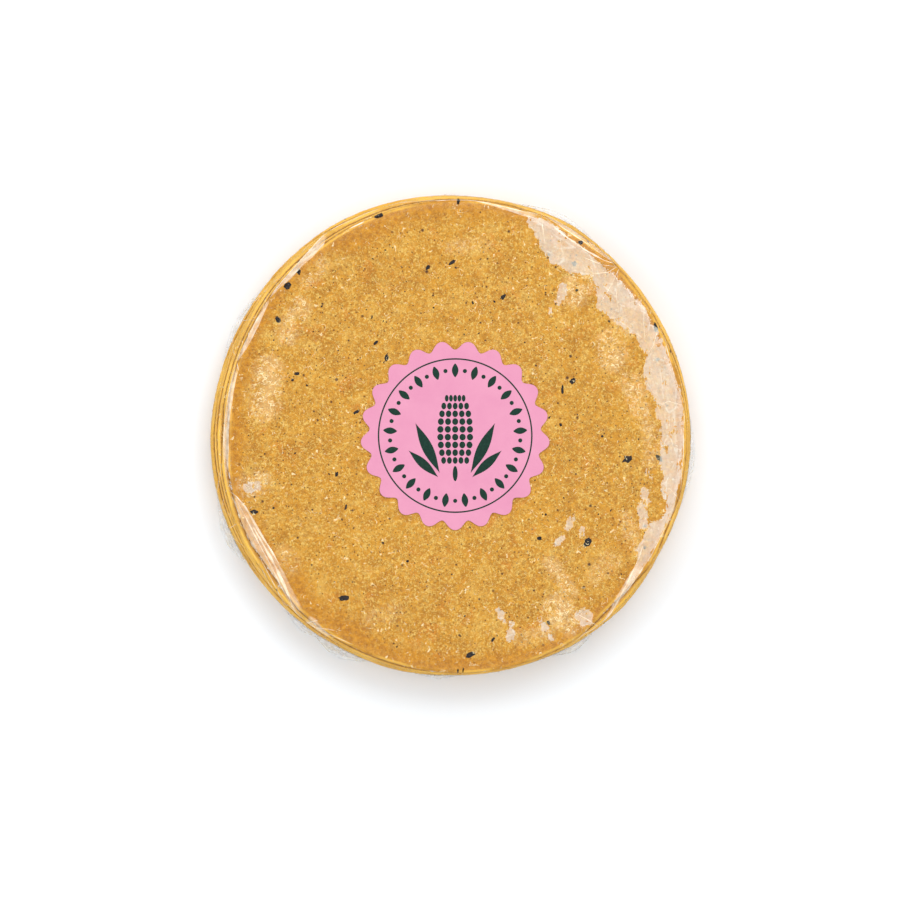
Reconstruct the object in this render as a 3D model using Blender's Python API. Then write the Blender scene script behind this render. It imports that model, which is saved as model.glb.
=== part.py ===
"""A sealed pack of corn tortillas: ten tortillas in a leaning stack, drawn tight in clear film, under a paper seal.

Run with blender --background --python part.py, or from Blender's text editor.
Metres, +Z up. The pack lies on its flat underside, and the origin is under the middle of its box.
"""

import math
import random

import bmesh
import bpy
from mathutils import Matrix, Vector

MM = 0.001

# The stack
TORTILLA_COUNT = 10
TORTILLA_THICKNESS = 2.05 * MM
TORTILLA_RADIUS = 69.3 * MM
STACK_HEIGHT = TORTILLA_COUNT * TORTILLA_THICKNESS
TOP_RADIUS_LOSS = 1.5 * MM  # the film draws the rim of the upper tortillas in
LEAN_X = 2.1 * MM  # how far the top tortilla has slid over the bottom one
LEAN_Y = -0.6 * MM
LOOSENESS = 0.35 * MM  # how far a tortilla lies from the smooth lean
OVALNESS = 0.9 * MM  # hand-pressed rounds are wider one way than the other
WAVINESS = 0.28 * MM
EDGE_ROUNDING = 0.5 * MM  # from the fullest part of an edge in to the gap between two tortillas
SEED = 11

# The film. A facet is a flat of film that cuts across the rim: where it faces in degrees round the pack,
# how far from the pack's axis it starts at the top, and how far it moves outwards for each length down.
FACETS = (
    (215.0, 64.7 * MM, 0.95),
    (178.0, 64.1 * MM, 0.75),
    (152.0, 65.9 * MM, 0.80),
    (128.0, 66.7 * MM, 0.80),
    (98.0, 67.6 * MM, 0.70),
    (57.0, 67.9 * MM, 0.80),
    (22.0, 67.2 * MM, 0.70),
    (338.0, 67.4 * MM, 0.70),
    (316.0, 67.0 * MM, 0.80),
    (262.0, 68.3 * MM, 0.70),
)
# An ear is a folded corner of film that lies flat at the foot: where it points, how many degrees
# its root spans either side, and how far it reaches past the stack.
EARS = (
    (204.5, 11.0, 3.4 * MM),
    (232.0, 9.0, 2.9 * MM),
    (242.0, 9.0, 3.9 * MM),
    (267.0, 8.0, 2.3 * MM),
    (300.0, 9.0, 3.0 * MM),
    (354.0, 13.0, 2.0 * MM),
    (64.0, 14.0, 2.2 * MM),
    (91.0, 9.0, 1.2 * MM),
    (152.0, 14.0, 2.6 * MM),
)
EAR_UNDERSIDE = 0.5 * MM
EAR_TOP = 1.1 * MM
FOOT_INSET = 1.6 * MM  # the flat underside ends this far inside the stack's edge
RIM_ROUNDING = 0.9 * MM
SEGMENTS = 96

# The seal
SEAL_LOBES = 21
SEAL_RADIUS = 26.2 * MM  # halfway between lobe tips and notches
LOBE_HEIGHT = 1.25 * MM  # from that line to a tip
LOBE_FULLNESS = 0.22  # how much rounder a tip is than a notch
POINTS_PER_LOBE = 10
SEAL_THICKNESS = 0.3 * MM
SEAL_GAP = 0.3 * MM
SEAL_X = 1.1 * MM
SEAL_Y = 0.1 * MM


def clear_scene():
    for obj in list(bpy.data.objects):
        bpy.data.objects.remove(obj, do_unlink=True)


def material(name, colour, roughness, metallic=0.0):
    made = bpy.data.materials.new(name)
    made.use_nodes = True
    shader = made.node_tree.nodes["Principled BSDF"]
    shader.inputs["Base Color"].default_value = (*colour, 1.0)
    shader.inputs["Roughness"].default_value = roughness
    shader.inputs["Metallic"].default_value = metallic
    return made


class Tortilla:
    """One round of the stack: its middle, its radius and its uneven outline."""

    def __init__(self, level, draw):
        rise = level / (TORTILLA_COUNT - 1)
        slide = rise**3
        self.x = LEAN_X * (slide - 0.3) + draw.uniform(-LOOSENESS, LOOSENESS)
        self.y = LEAN_Y * slide + draw.uniform(-LOOSENESS, LOOSENESS)
        self.radius = TORTILLA_RADIUS - TOP_RADIUS_LOSS * rise**4
        self.oval = -OVALNESS * slide
        self.phases = [draw.uniform(0.0, math.tau) for _ in range(3)]

    def edge(self, angle):
        """Distance from the pack's axis to this tortilla's edge, in the direction of the angle."""
        waves = sum(
            math.cos(lobes * angle + phase) for lobes, phase in zip((3, 5, 8), self.phases)
        )
        radius = self.radius + self.oval * math.cos(2 * angle) + WAVINESS * waves / 3
        along = self.x * math.cos(angle) + self.y * math.sin(angle)
        across = self.x * math.sin(angle) - self.y * math.cos(angle)
        return along + math.sqrt(radius**2 - across**2)


def facet_limit(angle, height):
    """How far out the flats of film let the pack reach at this angle and height."""
    reach = 2 * TORTILLA_RADIUS
    for facing, distance, slope in FACETS:
        turn = math.cos(angle - math.radians(facing))
        if turn > 0.5:
            reach = min(reach, (distance + slope * (STACK_HEIGHT - height)) / turn)
    return reach


def ear_reach(angle):
    """How far the nearest folded corner of film stands past the foot of the stack."""
    reach = 0.0
    for pointing, half_width, length in EARS:
        away = abs(math.remainder(angle - math.radians(pointing), math.tau))
        reach = max(reach, length * (1 - away / math.radians(half_width)))
    return reach


def stack_sections():
    """The pack's rings from the foot to the top, each a height and a radius for any angle."""
    draw = random.Random(SEED)
    stack = [Tortilla(level, draw) for level in range(TORTILLA_COUNT)]
    bottom, top = stack[0], stack[-1]

    def ring(tortilla, height, inset, ears=0.0):
        def radius(angle):
            within = min(tortilla.edge(angle), facet_limit(angle, height)) - inset
            return within + ears * ear_reach(angle)

        return height, radius

    rings = [
        ring(bottom, 0.0, FOOT_INSET),
        ring(bottom, EAR_UNDERSIDE, EDGE_ROUNDING / 2, ears=1.0),
        ring(bottom, EAR_TOP, 0.0, ears=1.0),
        ring(bottom, 0.80 * TORTILLA_THICKNESS, EDGE_ROUNDING / 2),
    ]
    for level, tortilla in enumerate(stack[1:], start=1):
        foot = level * TORTILLA_THICKNESS
        rings.append(ring(tortilla, foot + 0.12 * TORTILLA_THICKNESS, EDGE_ROUNDING))
        rings.append(ring(tortilla, foot + 0.50 * TORTILLA_THICKNESS, 0.0))
        if tortilla is not top:
            rings.append(ring(tortilla, foot + 0.88 * TORTILLA_THICKNESS, EDGE_ROUNDING))
    rings.append(ring(top, STACK_HEIGHT - 0.3 * RIM_ROUNDING, 0.35 * RIM_ROUNDING))
    rings.append(ring(top, STACK_HEIGHT, RIM_ROUNDING))
    return rings


def place_ring(verts, section):
    """Moves a ring's points to the section's height and radii, each at its own angle."""
    height, radius = section
    for vert in verts:
        angle = math.atan2(vert.co.y, vert.co.x)
        reach = radius(angle)
        vert.co = (reach * math.cos(angle), reach * math.sin(angle), height)


def wrapped_stack(colour):
    """The pack's body: a circle drawn up through the sections and closed at both ends."""
    sections = stack_sections()
    bm = bmesh.new()
    first = bmesh.ops.create_circle(bm, segments=SEGMENTS, radius=TORTILLA_RADIUS)
    place_ring(first["verts"], sections[0])
    edges = list(bm.edges)
    for section in sections[1:]:
        drawn = bmesh.ops.extrude_edge_only(bm, edges=edges)["geom"]
        edges = [part for part in drawn if isinstance(part, bmesh.types.BMEdge)]
        place_ring([part for part in drawn if isinstance(part, bmesh.types.BMVert)], section)
    bmesh.ops.holes_fill(bm, edges=[edge for edge in bm.edges if edge.is_boundary], sides=0)
    bmesh.ops.recalc_face_normals(bm, faces=bm.faces)
    mesh = bpy.data.meshes.new("wrapped_stack")
    bm.to_mesh(mesh)
    bm.free()
    mesh.shade_smooth()
    mesh.set_sharp_from_angle(angle=math.radians(40))
    mesh.materials.append(colour)
    return bpy.data.objects.new("wrapped_stack", mesh)


def seal_outline():
    """The scalloped edge of the seal, with full round lobes and narrower notches."""
    count = SEAL_LOBES * POINTS_PER_LOBE
    for step in range(count):
        angle = math.tau * step / count
        wave = math.cos(SEAL_LOBES * (angle + math.pi / 2))
        lobe = wave + LOBE_FULLNESS * (1 - wave**2)
        reach = SEAL_RADIUS + LOBE_HEIGHT * lobe
        yield reach * math.cos(angle), reach * math.sin(angle)


def paper_seal(colour):
    """The seal: a flat scalloped outline with the thickness of its paper, just above the film."""
    curve = bpy.data.curves.new("paper_seal", "CURVE")
    curve.dimensions = "2D"
    curve.fill_mode = "BOTH"
    curve.extrude = SEAL_THICKNESS / 2
    points = list(seal_outline())
    spline = curve.splines.new("POLY")
    spline.points.add(len(points) - 1)
    spline.use_cyclic_u = True
    for point, (x, y) in zip(spline.points, points):
        point.co = (x, y, 0.0, 1.0)
    curve.materials.append(colour)
    seal = bpy.data.objects.new("paper_seal", curve)
    seal.location = (SEAL_X, SEAL_Y, STACK_HEIGHT + SEAL_GAP + SEAL_THICKNESS / 2)
    return seal


def centre_on_origin(body, others):
    """Slides everything so that the middle of the body's box stands over the origin."""
    corners = [vert.co for vert in body.data.vertices]
    low = Vector(min(corner[axis] for corner in corners) for axis in range(3))
    high = Vector(max(corner[axis] for corner in corners) for axis in range(3))
    shift = -(low + high) / 2
    shift.z = 0.0
    body.data.transform(Matrix.Translation(shift))
    for other in others:
        other.location += shift


def main():
    clear_scene()
    collection = bpy.data.collections.new("tortilla_pack")
    bpy.context.scene.collection.children.link(collection)
    pack = wrapped_stack(material("corn dough under clear film", (0.62, 0.33, 0.08), 0.35))
    seal = paper_seal(material("pink seal paper", (0.89, 0.37, 0.53), 0.6))
    centre_on_origin(pack, [seal])
    for obj in (pack, seal):
        collection.objects.link(obj)


main()
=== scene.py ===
"""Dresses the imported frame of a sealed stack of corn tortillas.

The frame gives the stack's outline at every height. Built on it are the tortillas, the flecks of charred
hull in their dough, the clear film drawn over them with its folds, and the printed paper seal.
"""

import math
import random
from functools import partial

import bmesh
import bpy
from bpy.props import FloatProperty, FloatVectorProperty, IntProperty, PointerProperty
from mathutils import Matrix, Vector, noise
from mathutils.bvhtree import BVHTree


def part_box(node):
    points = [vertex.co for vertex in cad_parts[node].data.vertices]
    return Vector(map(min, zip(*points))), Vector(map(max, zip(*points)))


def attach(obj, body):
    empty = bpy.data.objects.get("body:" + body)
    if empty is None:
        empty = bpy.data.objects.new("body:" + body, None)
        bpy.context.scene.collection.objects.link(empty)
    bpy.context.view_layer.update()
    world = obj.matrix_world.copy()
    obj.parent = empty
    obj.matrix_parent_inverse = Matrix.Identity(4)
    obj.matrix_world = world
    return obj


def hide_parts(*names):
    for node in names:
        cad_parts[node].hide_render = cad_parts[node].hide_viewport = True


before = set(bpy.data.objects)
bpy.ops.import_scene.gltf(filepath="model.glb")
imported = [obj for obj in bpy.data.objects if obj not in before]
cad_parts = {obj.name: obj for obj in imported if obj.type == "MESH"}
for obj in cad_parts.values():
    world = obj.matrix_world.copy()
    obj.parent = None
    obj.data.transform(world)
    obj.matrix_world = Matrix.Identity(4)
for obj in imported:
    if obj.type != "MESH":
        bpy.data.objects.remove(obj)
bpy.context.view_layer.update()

bl_info = {
    "name": "Sealed Corn Tortilla Pack",
    "version": (1, 0, 0),
    "blender": (4, 5, 0),
    "location": "3D View > Sidebar > Tortilla Pack",
    "description": "Builds a stack of corn tortillas in clear film with a paper seal",
    "category": "Object",
}

MM = 0.001
STACK_NODE = "wrapped_stack"
SEAL_NODE = "paper_seal"
BODY = "root"
AXIS = Vector((0.0, 0.5 * MM, 0.0))  # where the stack's axis stands in the frame
FAR_OUT = 0.2  # well outside the pack, where a line of sight towards the axis starts
OUTLINE_STEPS = 720
SLOPING_STEPS = 4  # so many tortillas' edges at most lie under the film's slope at the rim
LEAST_STEP = 0.15 * MM  # a smaller step in the wall leaves the film no slope
RIM_MARGIN = 0.25 * MM  # how far folds at the rim stay inside the film's slope
CORNER_MARGIN = 0.35 * MM  # how far folds at the foot stay inside the corners' very edge
FACE_REACH = 66.0  # millimetres, about as far as the top tortilla's face reaches from the axis

# Heights
FOOT_FOLD = 0.8 * MM  # the film's folded corners lie this high
BASE_REST = 0.45 * MM  # the pleated film under the pack lifts the bottom tortilla this far
TOP_OF_DOUGH = 20.42 * MM
TOP_OF_FILM = 20.56 * MM

# Where the film has come off the top tortilla along the rim: degrees round the pack, and between which
# distances from the axis it is loose.
LOOSE_RIM = (
    (-53.0, 70.5, 71.0), (-46.0, 67.9, 69.0), (-39.0, 66.0, 67.5), (-30.0, 62.8, 67.3),
    (-24.0, 62.6, 67.4), (-22.0, 65.4, 67.3), (-18.0, 65.8, 67.4), (-15.5, 63.0, 68.6),
    (-12.0, 62.4, 67.5), (-6.0, 61.3, 67.2), (4.0, 60.4, 67.0), (7.0, 60.0, 67.8), (11.0, 59.3, 66.9),
    (17.0, 57.2, 66.6), (22.0, 61.0, 66.4), (26.0, 60.6, 66.5), (27.5, 60.6, 68.4), (29.0, 60.4, 66.6),
    (33.0, 58.3, 67.8), (36.0, 57.4, 67.0), (41.0, 56.2, 66.5), (48.0, 61.4, 65.9), (54.0, 58.4, 66.2),
    (60.0, 57.6, 66.8), (65.0, 60.8, 68.1), (71.0, 66.0, 68.6), (76.0, 69.0, 69.0),
)

# How much further than the frame's outline the lower tortillas bulge under the film: degrees, millimetres.
BULGE = (
    (0.0, 1.05), (15.0, 0.65), (30.0, 0.35), (45.0, 0.65), (60.0, 1.35), (75.0, 0.7), (90.0, 0.3),
    (105.0, 0.1), (120.0, 0.3), (135.0, -0.2), (150.0, -0.9), (165.0, -0.6), (180.0, 0.15), (195.0, 0.2),
    (210.0, -0.1), (225.0, -0.3), (240.0, -0.3), (255.0, 0.3), (270.0, -0.1), (285.0, 0.35),
    (300.0, 1.0), (315.0, 1.25), (330.0, 0.5), (345.0, 1.0), (360.0, 1.05),
)
BULGE_SHARE = (1.0, 1.0, 1.0, 1.0, 1.0, 1.0, 1.0, 0.8, 0.4, 0.0)  # from the bottom tortilla up

# How far in from the edge the dough of the top tortilla is damp and orange, and towards the lower left also
# painted shade: degrees, millimetres.
DAMP_AND_SHADED_RIM = (
    (0.0, 2.2), (27.0, 2.4), (50.0, 3.0), (60.0, 5.0), (72.0, 4.0), (84.0, 7.5), (98.0, 8.5),
    (118.0, 9.0), (124.0, 5.0), (138.0, 5.0), (152.0, 6.0), (180.0, 6.5), (195.0, 6.0), (207.0, 7.0),
    (220.0, 9.0), (235.0, 10.0), (250.0, 10.0), (268.0, 8.0), (290.0, 5.0), (305.0, 3.5), (322.0, 3.0),
    (340.0, 2.4), (360.0, 2.2),
)

# Smaller loose patches: x and y from the axis, length, width, degrees, all but the last in millimetres.
LOOSE_PATCHES = (
    (31.9, 40.5, 7.0, 1.9, 70.0),
    (28.6, 36.2, 2.4, 0.9, 75.0),
    (57.1, -10.9, 4.6, 1.1, -65.0),
    (56.2, -17.6, 5.2, 2.4, -62.0),
    (55.4, -23.4, 7.5, 2.6, -78.0),
    (34.6, -25.8, 5.0, 2.0, 57.0),
    (31.4, -30.6, 3.2, 1.0, 50.0),
    (38.0, -27.5, 3.4, 0.7, 80.0),
    (14.4, -52.1, 5.6, 1.6, -58.0),
    (17.3, -56.6, 5.6, 1.8, 86.0),
    (27.4, -56.2, 8.0, 1.4, -58.0),
    (38.6, -52.8, 6.0, 4.2, -40.0),
    (42.6, -55.2, 4.0, 2.0, -30.0),
    (-28.2, 60.2, 4.4, 0.7, 18.0),
    (-57.8, -14.8, 6.0, 3.0, 20.0),
)

# Zones where the film only just touches, shown as painted glints in fine broken strokes: as above, and how
# dense the strokes are.
GLINT_HAZE_ZONES = (
    (-53.5, 13.5, 19.0, 8.5, 84.0, 1.0),
    (-45.8, 33.0, 15.0, 6.0, 62.0, 0.9),
    (-39.5, 47.0, 10.0, 4.0, 50.0, 0.6),
    (-57.0, -14.0, 10.0, 7.0, 20.0, 0.9),
    (-47.5, -36.0, 9.0, 5.0, -55.0, 0.5),
    (46.4, 24.5, 12.0, 8.0, 100.0, 1.0),
    (53.5, 11.5, 14.0, 6.0, 112.0, 0.9),
    (57.5, -2.0, 14.0, 4.0, 95.0, 0.7),
    (37.0, 44.0, 14.0, 8.0, 60.0, 0.9),
    (49.5, 33.0, 10.0, 4.0, 130.0, 0.8),
    (44.0, -38.0, 12.0, 5.0, 45.0, 0.5),
    (31.5, -41.0, 14.0, 3.6, -57.0, 1.0),
    (32.5, -52.0, 14.0, 8.0, -40.0, 1.0),
    (24.0, -58.0, 12.0, 4.0, 10.0, 0.6),
    (52.0, -28.0, 12.0, 4.0, -70.0, 0.7),
    (5.0, 55.0, 14.0, 4.0, 5.0, 0.4),
    (-20.0, -52.0, 12.0, 5.0, 20.0, 0.3),
)

# Veils, bands of film that stand off the rim between two creases, their white partly a painted reflection:
# density, then degrees round the pack with the inner and the outer crease in millimetres from the axis.
VEILS = (
    (1.0, (121.2, 68.7, 69.5), (123.7, 66.4, 68.7), (127.7, 65.4, 67.6), (131.7, 65.3, 66.9),
     (135.6, 64.9, 66.4), (139.6, 65.6, 66.4), (143.0, 65.7, 66.1)),
    (1.0, (143.0, 65.6, 66.0), (146.0, 64.9, 65.8), (150.0, 64.2, 65.5), (154.0, 64.1, 65.4),
     (157.0, 64.4, 65.6), (160.3, 65.3, 65.9), (161.5, 65.9, 66.2)),
    (0.9, (161.5, 65.8, 66.1), (163.5, 64.5, 65.7), (171.5, 64.1, 65.7), (179.5, 64.4, 66.0),
     (184.0, 64.5, 66.3), (188.0, 65.2, 66.3), (191.0, 66.3, 66.7)),
    (0.62, (193.9, 66.1, 66.5), (196.0, 64.4, 65.9), (199.0, 63.0, 65.7), (203.0, 62.3, 65.7),
     (207.0, 61.9, 65.7), (212.0, 61.7, 65.4), (215.8, 62.0, 65.4), (219.8, 62.7, 65.6),
     (223.8, 64.0, 66.6), (227.8, 65.4, 68.2), (231.0, 66.8, 69.6)),
    (0.70, (231.5, 66.4, 69.9), (233.5, 66.0, 69.6), (236.0, 67.0, 68.9), (239.0, 67.6, 68.2)),
    (0.70, (45.5, 68.7, 69.0), (50.0, 68.1, 68.9), (56.0, 67.9, 69.0), (62.0, 68.1, 69.2),
     (67.6, 69.1, 69.5)),
    (0.85, (68.0, 68.5, 69.2), (70.0, 67.2, 68.6), (72.0, 66.8, 68.2), (77.0, 67.2, 68.1),
     (84.0, 68.1, 68.4)),
    (0.80, (-52.0, 69.9, 70.2), (-48.0, 68.4, 69.3), (-44.0, 66.7, 68.0), (-39.3, 65.6, 67.8),
     (-34.0, 65.2, 67.6)),
)

# Folds, where two layers of film lie on each other, their white lines partly painted highlights: width in
# millimetres, then points in degrees and millimetres from the axis.
FOLDS = (
    (0.34, (107.5, 69.7), (114.0, 68.8), (121.0, 69.4)),
    (0.55, (121.2, 69.4), (123.7, 68.6), (127.7, 67.5), (132.0, 66.8), (137.0, 66.3), (143.0, 66.1)),
    (0.30, (143.0, 66.9), (146.0, 66.0), (152.0, 65.5), (157.0, 65.6), (161.5, 66.2)),
    (0.30, (161.5, 66.1), (164.0, 65.7), (172.0, 65.7), (180.0, 65.9), (187.0, 66.2), (193.5, 66.5)),
    (0.42, (161.2, 65.6), (163.5, 64.2)),
    (0.70, (193.9, 66.3), (196.0, 64.6), (199.0, 63.2), (203.0, 62.5), (208.0, 62.1), (213.0, 61.9),
     (217.0, 62.3)),
    (0.90, (205.0, 63.2), (211.0, 63.0), (217.0, 63.6), (222.0, 65.0), (227.0, 67.4), (231.0, 69.8)),
    (0.34, (196.0, 65.2), (202.0, 64.1), (209.0, 63.9), (216.0, 64.5), (222.0, 66.0), (228.0, 68.6)),
    (0.40, (212.0, 65.7), (218.0, 66.6), (224.0, 68.3), (229.5, 69.8)),
    (0.26, (209.0, 66.8), (216.0, 67.3), (223.0, 69.2)),
    (0.50, (232.2, 70.2), (233.0, 67.6), (234.4, 65.6)),
    (0.34, (233.0, 69.6), (236.5, 67.0), (239.5, 65.6)),
    (0.30, (234.0, 69.2), (239.0, 67.4), (245.0, 67.0)),
    (0.60, (68.1, 69.6), (64.0, 67.4), (60.0, 66.5), (54.0, 66.3), (49.0, 67.3), (45.5, 69.2)),
    (0.30, (67.0, 69.3), (61.0, 68.2), (55.0, 68.0), (47.0, 68.5)),
    (0.28, (68.1, 69.7), (66.4, 66.0), (63.6, 61.2)),
    (0.26, (45.4, 69.2), (46.2, 65.6), (49.2, 61.7)),
    (0.22, (45.0, 69.0), (43.4, 64.0), (41.5, 57.6)),
    (0.20, (49.2, 61.7), (51.5, 60.2), (54.0, 59.6)),
    (0.20, (45.2, 68.8), (48.6, 65.9), (54.5, 64.0)),
    (0.18, (36.0, 60.0), (40.0, 62.4), (44.8, 68.0)),
    (0.18, (27.6, 67.6), (24.0, 64.0), (22.4, 61.4)),
    (0.18, (7.4, 67.6), (9.0, 63.6), (8.2, 61.0)),
    (0.18, (-15.6, 68.4), (-13.6, 65.0), (-14.4, 62.8)),
    (0.20, (34.0, 67.4), (30.5, 64.6), (26.0, 62.4)),
    (0.42, (67.8, 69.4), (72.0, 68.2), (77.5, 68.0), (84.0, 68.3), (90.0, 68.5), (96.0, 68.4),
     (101.5, 69.0), (107.0, 69.6)),
    (0.26, (27.5, 68.8), (20.0, 67.0), (12.0, 67.1), (7.3, 68.2)),
    (0.26, (7.3, 68.2), (2.0, 67.3), (-5.0, 67.4), (-11.0, 67.8), (-15.4, 68.8)),
    (0.30, (-15.4, 68.8), (-19.0, 67.9), (-22.6, 67.5), (-31.0, 67.5), (-40.0, 67.7), (-46.0, 68.8)),
    (0.45, (-52.0, 70.2), (-48.0, 69.1), (-44.0, 67.7), (-39.3, 66.3), (-34.0, 65.0)),
    (0.30, (-30.0, 64.0), (-34.0, 65.2)),
    (0.40, (-52.0, 70.2), (-56.0, 69.0), (-60.0, 69.9)),
    (0.30, (-52.4, 69.9), (-53.6, 66.0), (-54.8, 63.4)),
    (0.50, (116.2, 66.8), (112.4, 66.9), (111.6, 67.6)),
)

# The film's folded corners at the foot: degrees at one root, at the tip and at the other root.
CORNERS = (
    (197, 204, 211), (225, 232, 238), (236, 242, 250), (259, 267, 272), (292, 300, 307), (344, 354, 365),
    (55, 64, 76), (84, 91, 99), (143, 152, 161),
)

# The larger flecks of charred hull on the top tortilla: x and y from the axis, length, width, degrees.
FLECKS = (
    (-30.9, -47.2, 3.2, 1.5, 0.0),
    (5.4, -63.5, 2.9, 1.4, 23.0),
    (-21.3, 65.2, 2.9, 1.5, 26.0),
    (51.0, -6.8, 2.9, 2.0, 26.0),
    (39.4, -30.9, 2.9, 2.0, 60.0),
    (-47.4, 43.4, 2.3, 1.7, 64.0),
    (-57.0, -22.2, 2.3, 1.4, 2.0),
    (-50.3, 33.6, 2.3, 1.4, -62.0),
    (60.0, -6.5, 2.3, 1.4, 135.0),
    (35.1, 15.8, 2.0, 1.4, 52.0),
    (-18.7, 22.5, 2.0, 1.3, 85.0),
    (-44.2, 47.5, 2.0, 1.2, 81.0),
    (15.0, 40.2, 2.0, 1.2, 51.0),
    (59.2, 31.2, 2.6, 1.0, 101.0),
    (35.6, 49.8, 1.5, 1.4, 0.0),
    (-27.4, 6.8, 2.2, 1.0, 28.0),
    (0.2, 50.1, 2.6, 0.9, 39.0),
    (37.4, 55.9, 1.5, 1.2, 0.0),
    (-6.8, 48.7, 1.5, 1.1, 35.0),
    (32.2, 13.5, 2.6, 0.8, 89.0),
    (12.1, -59.1, 1.8, 0.9, 59.0),
    (25.5, -29.8, 1.3, 1.1, 0.0),
    (28.1, -54.2, 1.5, 0.9, 137.0),
    (-44.8, 17.9, 1.5, 0.9, 0.0),
    (-21.9, 26.9, 1.5, 0.9, 40.0),
    (-33.2, -11.2, 1.5, 0.9, 70.0),
    (-30.6, -20.8, 1.5, 0.7, 75.0),
    (2.0, 67.9, 1.9, 0.8, 90.0),
    (59.7, 22.0, 1.2, 0.9, 30.0),
    (1.9, -68.2, 1.2, 0.5, 90.0),
    (3.4, -68.0, 1.2, 0.5, 84.0),
)


def linear(hex_colour):
    """A colour written as sRGB hex, as the linear values that Blender's sockets take."""
    values = [int(hex_colour[place:place + 2], 16) / 255 for place in (1, 3, 5)]
    return tuple(v / 12.92 if v <= 0.04045 else ((v + 0.055) / 1.055) ** 2.4 for v in values)


def per_mm(size):
    """The texture scale that repeats a pattern once in this many millimetres."""
    return 1.0 / (size * MM)


def smooth_step(value):
    """Eases from 0 to 1, and stays there on either side."""
    value = min(max(value, 0.0), 1.0)
    return value * value * (3 - 2 * value)


def wave(x, y, size, seed=0.0):
    """Smooth noise between about -1 and 1 whose bumps are this many metres across."""
    return noise.noise((x / size, y / size, seed))


def wave_round(angle, size, seed):
    """Smooth noise that runs round the pack: on a circle of radius 1, its bumps are this wide."""
    return wave(math.cos(angle), math.sin(angle), size, seed)


# ---------------------------------------------------------------------------------------------------------
# The outline that the frame gives
# ---------------------------------------------------------------------------------------------------------


def surface_of(piece):
    """A piece's surface, ready to be hit by lines of sight."""
    mesh = piece.data
    return BVHTree.FromPolygons(
        [vert.co.copy() for vert in mesh.vertices], [tuple(face.vertices) for face in mesh.polygons]
    )


def meet_wall(surface, angle, height):
    """Where a level line towards the axis meets the surface, and its normal there."""
    outward = Vector((math.cos(angle), math.sin(angle), 0.0))
    start = AXIS + outward * FAR_OUT + Vector((0.0, 0.0, height))
    where, normal, _, _ = surface.ray_cast(start, -outward)
    return where, normal


class Outline:
    """A closed outline round the axis, kept as its reach at evenly spaced angles."""

    def __init__(self, reach_at):
        self.reach = [reach_at(math.tau * step / OUTLINE_STEPS) for step in range(OUTLINE_STEPS)]

    def __call__(self, angle):
        place = (angle / math.tau) % 1.0 * OUTLINE_STEPS
        step = int(place)
        share = place - step
        here = self.reach[step % OUTLINE_STEPS]
        return here + share * (self.reach[(step + 1) % OUTLINE_STEPS] - here)


class StackShape:
    """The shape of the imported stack: how far its wall reaches at each tortilla's height and at the foot."""

    def __init__(self, count):
        self.surface = surface_of(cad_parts[STACK_NODE])
        self.count = count
        self.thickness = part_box(STACK_NODE)[1].z / count
        self.heights = [(level + 0.5) * self.thickness for level in range(count)]
        self.heights[0] = 0.8 * self.thickness  # the bottom edge shows above the folded corners
        shares = [BULGE_SHARE[int(level / count * len(BULGE_SHARE))] for level in range(count)]
        self.edges = [self.outline_at(height, share) for height, share in zip(self.heights, shares)]
        self.foot = self.outline_at(FOOT_FOLD, 1.0)

    def outline_at(self, height, bulging):
        def reach(angle):
            hit = meet_wall(self.surface, angle, height)[0]
            return (hit - AXIS).xy.length + bulging * read_table(BULGE, math.degrees(angle))[0]

        return Outline(reach)

    def girth(self, angle):
        """How far the widest tortilla reaches."""
        return max(edge(angle) for edge in self.edges)

    def rim(self, angle):
        """How far out the upper tortillas' steps let the film slope, before it drops down the wall."""
        top = level = self.count - 1
        while level > top - SLOPING_STEPS and self.step_below(level, angle) > LEAST_STEP:
            level -= 1
        return self.edges[level](angle) - RIM_MARGIN

    def clear_foot(self, angle):
        """How far a folded corner reaches, less its very edge."""
        return self.foot(angle) - CORNER_MARGIN

    def step_below(self, level, angle):
        """How far the tortilla below reaches past this one."""
        return self.edges[level - 1](angle) - self.edges[level](angle) if level else 0.0


def angle_of(point):
    """The direction of a point from the axis."""
    return math.atan2(point.y - AXIS.y, point.x - AXIS.x)


def place_at(angle, reach, height):
    """The point this far from the axis in this direction."""
    return Vector((AXIS.x + reach * math.cos(angle), AXIS.y + reach * math.sin(angle), height))


def capsule_depth(x, y, patch):
    """How deep a point lies inside a rounded patch, in metres, and below zero outside it."""
    middle_x, middle_y, length, width, degrees = patch[:5]
    turn = math.radians(degrees)
    away_x, away_y = x - middle_x * MM, y - middle_y * MM
    along = away_x * math.cos(turn) + away_y * math.sin(turn)
    across = -away_x * math.sin(turn) + away_y * math.cos(turn)
    half = max(length - width, 0.0) * MM / 2
    past = max(abs(along) - half, 0.0)
    return width * MM / 2 - math.hypot(past, across)


def read_table(table, degrees):
    """The values that a table of turning degrees and millimetres gives here, or nothing outside it."""
    for (first, *near), (second, *far) in zip(table, table[1:]):
        if first <= degrees <= second:
            share = (degrees - first) / (second - first)
            return [(start + share * (end - start)) * MM for start, end in zip(near, far)]
    return None


def film_looseness(x, y):
    """How deep a point on top lies inside loose film: x and y are from the axis."""
    reach = math.hypot(x, y)
    loose = read_table(LOOSE_RIM, math.degrees(math.atan2(y, x)))
    depth = min(reach - loose[0], loose[1] - reach) if loose else -FAR_OUT
    return max(depth, *(capsule_depth(x, y, patch) for patch in LOOSE_PATCHES))


def glint_haziness(x, y):
    """How strongly the film only just touches here and shows painted glints, from 0 to 1."""
    return max(
        zone[5] * smooth_step(0.5 + capsule_depth(x, y, zone) / (3.0 * MM)) for zone in GLINT_HAZE_ZONES
    )


# ---------------------------------------------------------------------------------------------------------
# Mesh tools
# ---------------------------------------------------------------------------------------------------------


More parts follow.
